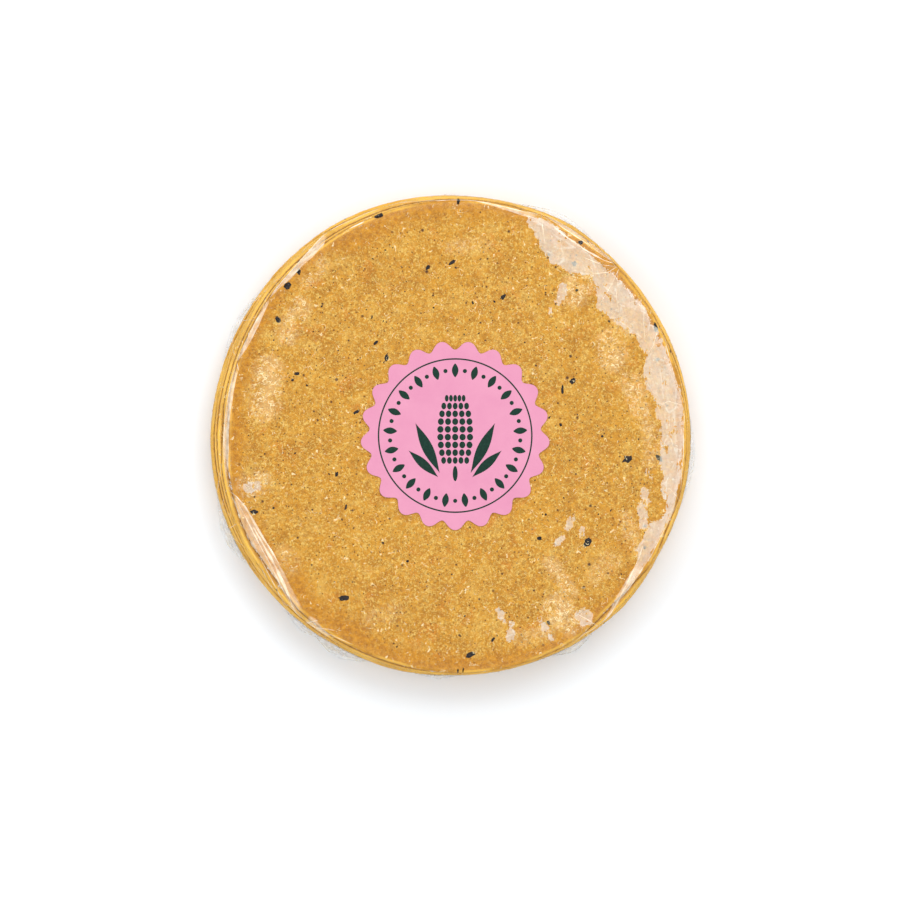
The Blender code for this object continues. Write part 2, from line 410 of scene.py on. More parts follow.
def disc_grid(bm, cells):
    """An even grid of square cells, pulled round into a disc of radius 1 about the origin."""
    verts = bmesh.ops.create_grid(bm, x_segments=cells, y_segments=cells, size=1.0)["verts"]
    for vert in verts:
        x, y, _ = vert.co
        vert.co = (x * math.sqrt(1 - y * y / 2), y * math.sqrt(1 - x * x / 2), 0.0)
    return verts


def edges_at(verts):
    """The edges that meet these points, each of them once and in a steady order."""
    return list(dict.fromkeys(edge for vert in verts for edge in vert.link_edges))


def rim_edges(verts):
    """The open edges at these points."""
    return [edge for edge in edges_at(verts) if edge.is_boundary]


def draw_ring(bm, edges):
    """Draws a closed loop of edges out into a new one and gives its edges and points."""
    drawn = bmesh.ops.extrude_edge_only(bm, edges=edges)["geom"]
    return (
        [part for part in drawn if isinstance(part, bmesh.types.BMEdge)],
        [part for part in drawn if isinstance(part, bmesh.types.BMVert)],
    )


def close_rings(bm, edges):
    """Closes rings of edges, each with a fan of faces round its middle."""
    filled = bmesh.ops.holes_fill(bm, edges=edges, sides=0)["faces"]
    bmesh.ops.poke(bm, faces=filled)


def finish_piece(bm, name, material, replaced, smooth_angle=60.0, closed=True):
    """Turns the finished mesh into a piece that rides on the pack."""
    if closed:
        bmesh.ops.recalc_face_normals(bm, faces=bm.faces)
    mesh = bpy.data.meshes.new(name)
    bm.to_mesh(mesh)
    bm.free()
    mesh.shade_smooth()
    mesh.set_sharp_from_angle(angle=math.radians(smooth_angle))
    mesh.materials.append(material)
    piece = bpy.data.objects.new(name, mesh)
    bpy.context.scene.collection.objects.link(piece)
    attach(piece, BODY)
    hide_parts(replaced)
    return piece


def drop_onto(surface, point):
    """Where a line straight down through a point meets the surface, and its normal there."""
    where, normal, _, _ = surface.ray_cast(Vector((point.x, point.y, FAR_OUT)), Vector((0.0, 0.0, -1.0)))
    if where is None:
        raise ValueError(f"nothing lies under {point.x / MM:.1f}, {point.y / MM:.1f} mm")
    return where, normal


# ---------------------------------------------------------------------------------------------------------
# Materials
# ---------------------------------------------------------------------------------------------------------


def add_node(tree, kind, inputs=(), **settings):
    """Adds a shader node with its settings. Inputs go by name or number, or in order from the first one, and
    each takes a value, a node's output to link, or a node for the first of its outputs that is in use."""
    made = tree.nodes.new("ShaderNode" + kind)
    for name, value in settings.items():
        setattr(made, name, value)
    by_place = inputs if isinstance(inputs, dict) else dict(enumerate(inputs))
    for place, value in by_place.items():
        if isinstance(value, bpy.types.Node):
            value = next(output for output in value.outputs if output.enabled)
        if isinstance(value, bpy.types.NodeSocket):
            tree.links.new(value, made.inputs[place])
        else:
            made.inputs[place].default_value = value
    return made


def new_material(name):
    """An empty material, and the function that adds a node to it."""
    material = bpy.data.materials.new(name)
    material.use_nodes = True
    material.node_tree.nodes.clear()
    return material, partial(add_node, material.node_tree)


def curled_lines(add, curl, width, core, gaps, low, high):
    """Short curled lines: where one noise crosses its middle, as far as another noise lets them show."""
    middle = add("Math", (curl, 0.5), operation="SUBTRACT")
    away = add("Math", (middle, 0.0), operation="ABSOLUTE")
    line = add("MapRange", (away, width, core))
    return add("Math", (line, add("MapRange", (gaps, low, high))), operation="MULTIPLY")


def swept_place(add, stretch):
    """Coordinates that run slowly round the pack and quickly outwards, for marks that lie along the rim."""
    place = add("TexCoord").outputs["Object"]
    flat = add("VectorMath", (place, (1.0, 1.0, 0.0)), operation="MULTIPLY")
    out = add("VectorMath", (flat,), operation="LENGTH")
    unit = add("VectorMath", (flat,), operation="NORMALIZE")
    around = add("VectorMath", {0: unit, "Scale": FACE_REACH * MM / stretch}, operation="SCALE")
    outward = add("CombineXYZ", {"Z": out})
    return add("VectorMath", (around, outward), operation="ADD")


def dough_material(settings):
    """Corn dough, pressed and griddled: mottled ochre grain with pale bran, pits and toast spots."""
    material, add = new_material("griddled corn dough")
    place = add("TexCoord").outputs["Object"]
    mottle, bloom, stain, smear = (
        add("TexNoise", {
            "Vector": place, "Scale": per_mm(size), "Detail": detail, "Roughness": rough, "Distortion": bend,
        })
        for size, detail, rough, bend in (
            (settings.grain_size * 1.45, 6.0, 0.72, 0.0),
            (15.0, 3.0, 0.55, 0.0),
            (5.5, 3.0, 0.55, 0.6),
            (5.2, 2.5, 0.55, 0.7),
        )
    )
    grainy = add("MapRange", (mottle, 0.34, 0.68))
    deep, pale = (*settings.dough_deep, 1), (*settings.dough_pale, 1)
    colour = add("Mix", {0: grainy, 6: deep, 7: pale}, data_type="RGBA")

    # What lies over the dough's own colour, from the first layer to the last: how much, and its colour
    layers = [
        (add("MapRange", (bloom, 0.38, 0.66, 0.0, 0.6)), settings.dough_toast),
        (add("MapRange", (stain, 0.57, 0.70, 0.0, 0.85)), settings.dough_gold),
        (add("MapRange", (smear, 0.50, 0.70, 0.0, 0.5)), settings.dough_smear),
        (add("MapRange", (smear, 0.47, 0.28, 0.0, 0.26)), settings.bran),
    ]

    # Grains of ground kernel, each cell one grain, and the palest of them bran
    cells = add("TexVoronoi", {"Vector": place, "Scale": per_mm(settings.grain_size), "Randomness": 1.0})
    middles = add("MapRange", (cells, 0.40, 0.20))
    palest = add("MapRange", (add("SeparateColor", (cells.outputs["Color"],)), 0.66, 0.9))
    kernel = add("Math", (middles, palest), operation="MULTIPLY")
    layers.append((add("Math", (kernel, 0.6), operation="MULTIPLY"), settings.bran))

    # Fibres of hull, pale ones over dark hollows whose darkness is painted shade: width of the curls and of
    # the line, gaps, and a shift
    marks = []
    for size, width, gaps, shift in (
        (1.4, 0.040, 0.8, 0.11), (1.1, 0.032, 1.0, 0.23), (1.2, 0.048, 0.75, 0.0), (1.6, 0.038, 0.9, 0.37),
    ):
        moved = add("VectorMath", (place, (shift, 0.3 * shift, 0.0)), operation="ADD")
        curl = add("TexNoise", {
            "Vector": moved, "Scale": per_mm(size), "Detail": 1.0, "Roughness": 0.5, "Distortion": 1.1,
        })
        broken = add("TexNoise", {"Vector": moved, "Scale": per_mm(gaps), "Detail": 0.0})
        marks.append(curled_lines(add, curl, width, 0.35 * width, broken, 0.47, 0.53))
    hollow_shade = add("Math", marks[:2], operation="MAXIMUM")
    fibre = add("Math", marks[2:], operation="MAXIMUM")
    layers.append((add("Math", (hollow_shade, 0.52), operation="MULTIPLY"), settings.dough_hollow_shade))
    layers.append((add("Math", (fibre, 0.60), operation="MULTIPLY"), settings.bran))

    # Pits and toasted specks of several sizes: a share of the cells has a dark middle
    dark = 0.0
    for size, share, width in ((1.1, 0.62, 0.19), (2.6, 0.68, 0.13), (6.0, 0.62, 0.08)):
        spots = add("TexVoronoi", {"Vector": place, "Scale": per_mm(size), "Randomness": 1.0})
        pick = add("SeparateColor", (spots.outputs["Color"],)).outputs["Green"]
        radius = add("MapRange", (pick, share, share + 0.05, 0.0, width))
        radius = add("Math", (radius, 1e-4), operation="ADD")
        inside = add("MapRange", (add("Math", (spots, radius), operation="DIVIDE"), 1.25, 0.55))
        dark = add("Math", (dark, inside), operation="MAXIMUM")
    layers.append((add("Math", (dark, 0.94), operation="MULTIPLY"), settings.toast_spot))
    for share, tint in layers:
        colour = add("Mix", {0: share, 6: colour, 7: (*tint, 1)}, data_type="RGBA")

    # The cut rim is damper and yellower than the griddled faces
    rim = add("Attribute", attribute_name="rim").outputs["Fac"]
    grainy = add("MapRange", (mottle, 0.4, 0.62))
    deep, pale = (*settings.rim_deep, 1), (*settings.rim_pale, 1)
    rim_colour = add("Mix", {0: grainy, 6: deep, 7: pale}, data_type="RGBA")
    colour = add("Mix", {0: rim, 6: colour, 7: rim_colour}, data_type="RGBA")

    # Painted light on the edges: a painted glow on the shoulder of each edge, for light that comes through
    # it, and painted shade in the gap under the next edge
    tone = add("Attribute", attribute_name="tone").outputs["Fac"]
    for end, tint in ((1.0, settings.rim_painted_glow), (-1.0, settings.rim_painted_shade)):
        share = add("MapRange", (tone, 0.0, end))
        colour = add("Mix", {0: share, 6: colour, 7: (*tint, 1)}, data_type="RGBA")

    height = 0.0
    for pattern, rise in ((mottle, 0.9), (kernel, 0.35), (fibre, 0.25), (hollow_shade, -0.25), (dark, -0.5)):
        height = add("Math", (pattern, rise, height), operation="MULTIPLY_ADD")
    bump = add("Bump", {"Strength": 0.7, "Distance": 0.22 * MM, "Height": height})
    shader = add("BsdfPrincipled", {
        "Base Color": colour, "Roughness": 0.6, "Specular IOR Level": 0.25, "Normal": bump,
    })
    add("OutputMaterial", {"Surface": shader})
    return material


def hull_material(settings):
    """Charred corn hull: a thin brittle skin, near black with a dull sheen, brown where it thins."""
    material, add = new_material("charred corn hull")
    place = add("TexCoord").outputs["Object"]
    char = add("TexNoise", {"Vector": place, "Scale": per_mm(0.7), "Detail": 3.0})
    tone = add("ValToRGB", (char,))
    colours = (settings.hull, settings.hull_worn)
    for stop, position, colour in zip(tone.color_ramp.elements, (0.40, 0.72), colours):
        stop.position = position
        stop.color = (*colour, 1)
    bump = add("Bump", {"Strength": 0.5, "Distance": 0.1 * MM, "Height": char})
    shader = add("BsdfPrincipled", {
        "Base Color": tone, "Roughness": 0.6, "Specular IOR Level": 0.2, "Normal": bump,
    })
    add("OutputMaterial", {"Surface": shader})
    return material


def film_material(settings):
    """Clear cling film, blown thin: it vanishes where it clings, and turns milky where it has let go, partly
    from the air under it and partly from a painted reflection of the lights.
    """
    material, add = new_material("clear cling film")
    place = add("TexCoord").outputs["Object"]
    swept = swept_place(add, 2.6)
    brushed = add("Mapping", {
        "Vector": place, "Rotation": (0.0, 0.0, math.radians(-20.0)), "Scale": (1.0, 0.2, 1.0),
    })
    noises = {
        name: add("TexNoise", {
            "Vector": where, "Scale": per_mm(size), "Detail": detail, "Roughness": 0.6, "Distortion": bend,
        })
        for name, where, size, detail, bend in (
            ("brush", brushed, 0.6, 2.0, 0.3),
            ("border", place, 2.4, 6.0, 0.8),
            ("drawn border", swept, 2.2, 4.0, 0.4),
            ("milk_and_sheen", place, 1.1, 6.0, 1.0),
            ("streaks", swept, 1.6, 3.0, 0.3),
            ("creases", place, 3.0, 3.0, 0.0),
            ("strokes", place, 1.9, 1.0, 1.6),
            ("gaps in strokes", place, 1.7, 1.0, 0.0),
            ("cloud", place, 5.0, 5.0, 0.0),
            ("sparks", place, 2.9, 1.0, 1.2),
            ("gaps in sparks", place, 1.9, 1.0, 0.4),
            ("wrinkles", place, 4.5, 2.0, 0.8),
            ("fine wrinkles", place, 0.9, 3.0, 0.0),
            ("grain below", place, 0.8, 3.0, 0.0),
        )
    }

    # Where the film is loose: its border wanders by the raggedness
    loose = add("Attribute", attribute_name="loose").outputs["Fac"]  # millimetres inside loose film
    border = -1.3
    for name, share in (("border", 1.0), ("drawn border", 1.0), ("brush", 0.6)):
        border = add("Math", (noises[name], share, border), operation="MULTIPLY_ADD")
    depth = add("Math", (border, settings.raggedness / MM, loose), operation="MULTIPLY_ADD")
    patch = add("MapRange", (depth, -0.10, 0.16), interpolation_type="SMOOTHSTEP")

    # Between creases the loose film lies in streaky facets, each with its painted reflection a little weaker
    # or stronger than the next
    facets = {"Vector": swept, "Scale": per_mm(4.2), "Randomness": 1.0}
    which = add("SeparateColor", (add("TexVoronoi", facets).outputs["Color"],))
    milk_and_sheen = patch
    for pattern, low, high, least, most in (
        (noises["milk_and_sheen"], 0.3, 0.7, 0.34, 0.52),
        (noises["streaks"], 0.35, 0.65, 0.90, 1.10),
        (noises["brush"], 0.35, 0.65, 0.94, 1.06),
        (which, 0.0, 1.0, 0.82, 1.14),
    ):
        share = add("MapRange", (pattern, low, high, least, most))
        milk_and_sheen = add("Math", (milk_and_sheen, share), operation="MULTIPLY")
    # Painted highlights along the creases between the facets
    crease_highlight = patch
    side = add("TexVoronoi", facets, feature="DISTANCE_TO_EDGE")
    for pattern, low, high in ((side, 0.05, 0.01), (noises["creases"], 0.48, 0.56)):
        crease_highlight = add("Math", (crease_highlight, add("MapRange", (pattern, low, high))), operation="MULTIPLY")
    milk_and_sheen = add("Math", (crease_highlight, 0.22, milk_and_sheen), operation="MULTIPLY_ADD")

    # Painted glints: fine broken strokes where the film only just touches the grain, and bright painted
    # sparks all over
    glint_haze = add("Attribute", attribute_name="glint_haze").outputs["Fac"]
    stroke = curled_lines(add, noises["strokes"], 0.050, 0.022, noises["gaps in strokes"], 0.45, 0.50)
    cloud = add("MapRange", (noises["cloud"], 0.40, 0.60, 0.02, 0.22))
    touch = add("Math", (stroke, 0.60, cloud), operation="MULTIPLY_ADD")
    glint_strokes = add("Math", (glint_haze, touch), operation="MULTIPLY")
    painted_sparks = curled_lines(add, noises["sparks"], 0.022, 0.008, noises["gaps in sparks"], 0.60, 0.63)
    for marks in (glint_strokes, add("Math", (painted_sparks, 0.75), operation="MULTIPLY")):
        milk_and_sheen = add("Math", (milk_and_sheen, marks), operation="MAXIMUM")
    lit_through = add("Math", (1.0, add("LightPath").outputs["Is Shadow Ray"]), operation="SUBTRACT")
    milk_and_sheen = add("Math", (milk_and_sheen, lit_through), operation="MULTIPLY")

    # The film's own wrinkles, and the grain that prints through it where it clings
    tight = add("Math", (1.0, patch), operation="SUBTRACT")
    cling = add("Math", (tight, noises["grain below"]), operation="MULTIPLY")
    height = 0.0
    for pattern, rise in ((noises["wrinkles"], 1.2), (noises["fine wrinkles"], 0.22), (cling, 0.9)):
        height = add("Math", (pattern, rise, height), operation="MULTIPLY_ADD")
    bump = add("Bump", {"Strength": 0.55, "Distance": 0.20 * MM, "Height": height})

    glint_haze_colour, loose_sheen_colour = (*settings.glint_haze_tint, 1), (*settings.loose_film_sheen_tint, 1)
    tint = add("Mix", {0: patch, 6: glint_haze_colour, 7: loose_sheen_colour}, data_type="RGBA")
    frost_and_sheen = add("BsdfDiffuse", {"Color": tint, "Roughness": 0.0})
    clear = add("BsdfTransparent", {"Color": (0.985, 0.985, 0.985, 1)})
    body = add("MixShader", (milk_and_sheen, clear, frost_and_sheen))
    gloss = add("BsdfGlossy", {"Roughness": add("MapRange", (patch, 0.0, 1.0, 0.24, 0.12)), "Normal": bump})
    shine = add("Fresnel", {"IOR": settings.film_ior, "Normal": bump})
    shine = add("Math", (shine, 0.042), operation="MINIMUM")
    for share in (add("MapRange", (patch, 0.0, 1.0, 0.6, 1.25)), lit_through):
        shine = add("Math", (shine, share), operation="MULTIPLY")
    shader = add("MixShader", (shine, body, gloss))
    add("OutputMaterial", {"Surface": shader})
    return material


def fold_material(settings):
    """Cling film folded on itself: layers with air between them, so folds and veils are milky white, and that
    white is partly painted highlight.
    """
    material, add = new_material("folded cling film")
    place = add("TexCoord").outputs["Object"]
    broken = add("TexNoise", {"Vector": place, "Scale": per_mm(1.8), "Detail": 2.0})
    drawn = add("TexNoise", {"Vector": swept_place(add, 7.0), "Scale": per_mm(0.9), "Detail": 3.0})
    lit_through = add("Math", (1.0, add("LightPath").outputs["Is Shadow Ray"]), operation="SUBTRACT")
    milk_and_sheen = add("Attribute", attribute_name="dense").outputs["Fac"]
    for share in (
        add("MapRange", (broken, 0.36, 0.62, 0.62, 1.0)),
        add("MapRange", (drawn, 0.38, 0.64, 0.5, 1.0)),
        lit_through,
    ):
        milk_and_sheen = add("Math", (milk_and_sheen, share), operation="MULTIPLY")

    # Over the dough the folds take a painted warm light from the dough, and at the foot they are white with
    # painted sheen
    height = add("SeparateXYZ", (place,)).outputs["Z"]
    over_dough = add("MapRange", (height, 2.0 * MM, 12.0 * MM))
    white, warm = (*settings.corner_sheen_tint, 1), (*settings.fold_dough_light_tint, 1)
    tint = add("Mix", {0: over_dough, 6: white, 7: warm}, data_type="RGBA")
    frost_and_sheen = add("BsdfPrincipled", {"Base Color": tint, "Roughness": 0.25, "IOR": 1.5})
    shader = add("MixShader", (milk_and_sheen, add("BsdfTransparent"), frost_and_sheen))
    add("OutputMaterial", {"Surface": shader})
    return material


def hem_material(settings):
    """The edge of folded cling film: seen through its whole width, so a corner ends in a thin grey line."""
    material, add = new_material("cling film hem")
    place = add("TexCoord").outputs["Object"]
    broken = add("TexNoise", {"Vector": place, "Scale": per_mm(1.6), "Detail": 2.0})
    faded = add("MapRange", (broken, 0.34, 0.55, 0.28, 0.46))
    edge = add("BsdfPrincipled", {"Base Color": (*settings.hem_tint, 1), "Roughness": 0.3, "IOR": 1.5})
    shader = add("MixShader", (faded, add("BsdfTransparent"), edge))
    add("OutputMaterial", {"Surface": shader})
    return material


def paper_material(settings):
    """Uncoated label paper, printed all over: matte, with the faint cloudiness of pressed fibre."""
    material, add = new_material("pink label paper")
    place = add("TexCoord").outputs["Object"]
    cloud = add("TexNoise", {"Vector": place, "Scale": per_mm(6.0), "Detail": 4.0})
    share = add("MapRange", (cloud, 0.3, 0.7))
    dense, plain = (*settings.paper_shade, 1), (*settings.paper, 1)
    tone = add("Mix", {0: share, 6: dense, 7: plain}, data_type="RGBA")
    fibre = add("TexNoise", {"Vector": place, "Scale": per_mm(0.35), "Detail": 2.0})
    bump = add("Bump", {"Strength": 0.12, "Distance": 0.05 * MM, "Height": fibre})
    shader = add("BsdfPrincipled", {"Base Color": tone, "Roughness": 0.5, "Normal": bump})
    add("OutputMaterial", {"Surface": shader})
    return material


def ink_material(settings):
    """Offset ink on paper: flat dark green, a little uneven where the paper takes less of it."""
    material, add = new_material("dark green printing ink")
    place = add("TexCoord").outputs["Object"]
    uneven = add("TexNoise", {"Vector": place, "Scale": per_mm(0.8), "Detail": 3.0})
    tone = add("ValToRGB", (uneven,))
    colours = (settings.ink, settings.ink_thin)
    for stop, position, colour in zip(tone.color_ramp.elements, (0.45, 0.8), colours):
        stop.position = position
        stop.color = (*colour, 1)
    shader = add("BsdfPrincipled", {"Base Color": tone, "Roughness": 0.6, "Specular IOR Level": 0.2})
    add("OutputMaterial", {"Surface": shader})
    return material


def floor_material(settings):
    """Matte white laminate: an even pale surface with only a soft shadow on it."""
    material, add = new_material("matte white laminate")
    place = add("TexCoord").outputs["Object"]
    cloud = add("TexNoise", {"Vector": place, "Scale": per_mm(60.0), "Detail": 2.0})
    rough = add("MapRange", {"Value": cloud, "To Min": 0.75, "To Max": 0.85})
    shader = add("BsdfPrincipled", {
        "Base Color": (*settings.floor, 1), "Roughness": rough, "Specular IOR Level": 0.2,
    })
    add("OutputMaterial", {"Surface": shader})
    return material


# ---------------------------------------------------------------------------------------------------------
# Settings
# ---------------------------------------------------------------------------------------------------------


def length_property(name, description, millimetres):
    size = millimetres * MM
    return FloatProperty(name=name, description=description, default=size, unit="LENGTH", min=0.0)


def colour_property(name, description, hex_colour):
    shade = linear(hex_colour)
    return FloatVectorProperty(name=name, description=description, default=shade, subtype="COLOR")


class TortillaSettings(bpy.types.PropertyGroup):
    """The tortillas and the hull flecks in them."""

    count: IntProperty(name="Tortillas", description="Tortillas in the stack", default=10, min=2, max=20)
    clearance: length_property("Clearance", "Gap between a tortilla's edge and the film", 0.07)
    raggedness: length_property("Raggedness", "How uneven a tortilla's edge is", 0.14)
    relief: length_property("Relief", "How high the top tortilla's swells are", 0.16)
    crumb: length_property("Crumb", "How high the crumbs on the top tortilla are", 0.07)
    grain_size: FloatProperty(name="Grain", description="Width of a grain in millimetres", default=0.95)
    small_flecks: IntProperty(name="Small flecks", description="Fine flecks of hull", default=150, min=0)
    dough_deep: colour_property("Deep dough", "The dough between the grains", "#B1721A")
    dough_pale: colour_property("Pale dough", "The ground grain", "#E19D25")
    dough_toast: colour_property("Toasted dough", "Where the griddle has dried the dough", "#D89521")
    dough_gold: colour_property("Golden dough", "Damp spots that stay yellow", "#CF821D")
    dough_smear: colour_property("Smears", "Broad brown smears of the griddle", "#A96A04")
    # Painted shade in the hollows between the fibres
    dough_hollow_shade: colour_property("Hollows", "Fine hollows between the fibres", "#93600A")
    bran: colour_property("Bran", "The palest fibres and grains", "#F4CC6C")
    toast_spot: colour_property("Toast spot", "Pits and singed specks", "#4E280C")
    rim_deep: colour_property("Deep rim", "The rim between the grains", "#B06A04")
    rim_pale: colour_property("Pale rim", "The grain of the rim", "#D88F12")
    # Painted light on the edges: a painted glow on their shoulders and painted shade in the gaps between them
    rim_painted_glow: colour_property("Lit rim", "The shoulders of the edges, with light in them", "#FFC650")
    rim_painted_shade: colour_property("Rim gaps", "The gaps between two edges", "#744404")
    hull: colour_property("Hull", "Charred hull", "#140A06")
    hull_worn: colour_property("Worn hull", "Hull where it thins", "#33241C")


class FilmSettings(bpy.types.PropertyGroup):
    """The clear film and its folds."""

    looseness: length_property("Lift", "How far loose film stands off the top tortilla", 0.32)
    raggedness: length_property("Ragged edge", "How uneven the border of a loose patch is", 3.2)
    sag: length_property("Sag", "How far the film sinks between two tortillas' edges", 0.14)
    pleat: length_property("Pleats", "How deep the film's gathers at the foot are", 0.22)
    film_ior: FloatProperty(name="Refraction", description="The film's index of refraction", default=1.48)
    # Painted reflection: loose film's milkiness is partly the air under it and partly a painted reflection of
    # the lights
    loose_film_sheen_tint: colour_property("Loose film", "Milky film that has let go", "#F0E7D3")
    # Painted glints where the film only just touches the grain
    glint_haze_tint: colour_property("Touching film", "Film that only just touches the grain", "#FFE7AE")
    # Painted light: the folds' warm tint stands in for light from the dough under them
    fold_dough_light_tint: colour_property("Folded film", "Film lying double, warm from the dough under it", "#FFEFD2")
    # Painted sheen: the corners' white stands in for highlights on them
    corner_sheen_tint: colour_property("Film corners", "Film lying double over the floor", "#FFFFFF")
    hem_tint: colour_property("Hems", "The edges of the film's folded corners", "#B8B0AA")


class SealSettings(bpy.types.PropertyGroup):
    """The paper seal and its print."""

    lobes: IntProperty(name="Lobes", description="Scallops round the seal", default=21, min=3)
    thickness: length_property("Paper", "Thickness of the paper", 0.12)
    gap: length_property("Gap", "Air between paper and film", 0.10)
    paper: colour_property("Paper colour", "The printed ground", "#DF90A9")
    paper_shade: colour_property("Paper shade", "The ground where the print is denser", "#DA88A4")
    ink: colour_property("Ink", "The motif", "#0A2C20")
    ink_thin: colour_property("Thin ink", "The motif where the ink is thin", "#153C2D")


class StageSettings(bpy.types.PropertyGroup):
    """The floor, the light and the camera."""

    floor: colour_property("Floor", "The white ground", "#F7F7F7")
    sky: FloatProperty(name="Sky", description="Strength of the even light all round", default=0.62)
    key: FloatProperty(name="Key", description="Power of the main light", default=8.0, unit="POWER")
    side: FloatProperty(name="Side", description="Power of each side light", default=2.9, unit="POWER")
    fill: FloatProperty(name="Fill", description="Power of the light in front", default=3.3, unit="POWER")
    field: length_property("Field", "Width that the camera sees at the pack's top", 260.7)
    camera_height: length_property("Camera height", "How far up the camera stands", 4000.0)


class PackSettings(bpy.types.PropertyGroup):
    """Everything that can be set on the pack."""

    tortilla: PointerProperty(type=TortillaSettings)
    film: PointerProperty(type=FilmSettings)
    seal: PointerProperty(type=SealSettings)
    stage: PointerProperty(type=StageSettings)


# ---------------------------------------------------------------------------------------------------------
# Tortillas
# ---------------------------------------------------------------------------------------------------------

# A tortilla's edge in section, from its upper face round to its lower one: how far inside the fullest
# point in millimetres, and how high as a share of the thickness.
EDGE_SECTION = (
    (3.2, 1.0), (2.3, 0.99), (1.7, 0.975), (1.3, 0.955), (0.95, 0.925), (0.65, 0.875), (0.4, 0.8),
    (0.2, 0.7), (0.05, 0.58), (0.0, 0.48), (0.2, 0.27), (0.6, 0.12), (1.3, 0.04), (3.2, 0.0),
)
TOP_GRID = 216  # cells across the top tortilla's face
LOWER_POINTS = 576  # points round a lower tortilla
SHELTER = 0.1  # share of a step by which the upper tortilla draws back behind the film
SHADE_REACH = 0.5 * MM  # how far the shade of the tortilla above spreads over an edge
TOP_DAMPNESS = 1.0
LOWER_DAMPNESS = (0.95, 0.25, 0.7)  # lower edges take turns at being damp and dry


def swell(x, y, relief):
    """The broad ups and downs of the top tortilla, which the film on it follows."""
    return relief * (wave(x, y, 26 * MM, 3.1) + 0.5 * wave(x, y, 9 * MM, 7.7))


def crumbs(x, y, height):
    """The grain of the griddled face: ground corn, with a pit here and there."""
    fine = 0.6 * wave(x, y, 1.5 * MM, 1.3) + 0.4 * wave(x, y, 0.8 * MM, 5.9)
    pit = max(wave(x, y, 2.6 * MM, 9.2) - 0.45, 0.0)
    return height * (fine - 2.2 * pit)


def tortilla_edge(shape, level, angle, settings):
    """How far this tortilla's own edge reaches: the film's reach less a gap that is ragged by nature."""
    full = shape.edges[level](angle)
    ragged = 0.5 + 0.5 * wave_round(angle, 0.11, 4.0 * level)
    ragged += 0.35 * wave_round(angle, 0.022, 9.0 + 4.0 * level)
    shelter = SHELTER * max(shape.step_below(level, angle) - 0.4 * MM, 0.0)
    return full - settings.clearance - settings.raggedness * max(ragged, 0.0) - shelter


def edge_painted_light(shape, level, angle, inset, settings):
    """How an edge point departs from its plain colour in painted light: above 0 a painted glow, below 0 a
    gap's painted shade.
    """
    top = level == shape.count - 1
    uneven = smooth_step(0.5 + 1.6 * wave_round(angle, 0.16, 3.0 + 5.0 * level))
    line = smooth_step(1.25 - abs(inset - 0.45 * MM) / (0.4 * MM))
    # Painted glow, brightest along the shoulder just inside the fullest point
    painted_glow = (0.15 if top else 0.55) * smooth_step(1.6 - inset / MM) + 0.65 * uneven * line
    if top:
        return painted_glow
    full = tortilla_edge(shape, level, angle, settings)
    above = tortilla_edge(shape, level + 1, angle, settings)
    # Painted shade where the edge above overhangs this one
    near = smooth_step(1.0 - (full - inset - above) / SHADE_REACH)
    gap = near * smooth_step((full - above) / SHADE_REACH - 0.8)
    return painted_glow * (1 - gap) - 0.75 * gap


def ring_rows(shape, level, bottom, top):
    """The rings of a tortilla's edge, from its upper face round to its lower: inset, height, dampness."""
    dampness = TOP_DAMPNESS if level == shape.count - 1 else LOWER_DAMPNESS[level % len(LOWER_DAMPNESS)]
    for inset, share in EDGE_SECTION:
        yield inset * MM, bottom + share * (top - bottom), dampness * smooth_step(2.6 - 2.0 * share)


def level_faces(shape, level):
    """The heights of a tortilla's lower and upper face."""
    lowest, highest = BASE_REST, TOP_OF_DOUGH
    step = (highest - lowest) / shape.count
    return lowest + level * step + 0.02 * MM, lowest + (level + 1) * step - 0.02 * MM


def place_row(shape, level, settings, verts, row, layers):
    """Moves a ring's points to their reach and height, with the small roughness of torn dough."""
    inset, height, rim = row
    for vert in verts:
        angle = angle_of(vert.co)
        rough = 0.07 * MM * noise.noise(vert.co / (1.6 * MM))
        droop = 0.10 * MM * wave_round(angle, 0.5, 2.0 * level)
        reach = tortilla_edge(shape, level, angle, settings) - inset
        vert.co = place_at(angle, reach + rough, height + droop + 0.5 * rough)
        vert[layers[0]] = rim
        vert[layers[1]] = edge_painted_light(shape, level, angle, inset, settings)


def damp_share(angle, inset):
    """How much of the rim's orange a point of the top face takes on, this far inside the edge."""
    reach = read_table(DAMP_AND_SHADED_RIM, math.degrees(angle) % 360.0)[0]
    uneven = 0.35 * wave(math.cos(angle) + 9 * inset, math.sin(angle) - 9 * inset, 0.11, 2.6)
    return max(0.8 * smooth_step(1.15 + uneven - inset / reach), smooth_step(1.6 - inset / (1.5 * MM)))


def lower_tortilla(shape, level, settings, material):
    """A tortilla that shows only its edge, with a plain face above and below."""
    bm = bmesh.new()
    # tone holds each edge's painted glow and painted shade
    layers = [bm.verts.layers.float.new(name) for name in ("rim", "tone")]
    bottom, top = level_faces(shape, level)
    verts = bmesh.ops.create_circle(bm, segments=LOWER_POINTS, radius=shape.edges[level](0.0))["verts"]
    bmesh.ops.translate(bm, verts=verts, vec=AXIS)
    edges = list(bm.edges)
    for number, row in enumerate(ring_rows(shape, level, bottom, top)):
        if number:
            edges, verts = draw_ring(bm, edges)
        place_row(shape, level, settings, verts, row, layers)
    close_rings(bm, [edge for edge in bm.edges if edge.is_boundary])
    return finish_piece(bm, f"tortilla_{level + 1:02d}", material, STACK_NODE)


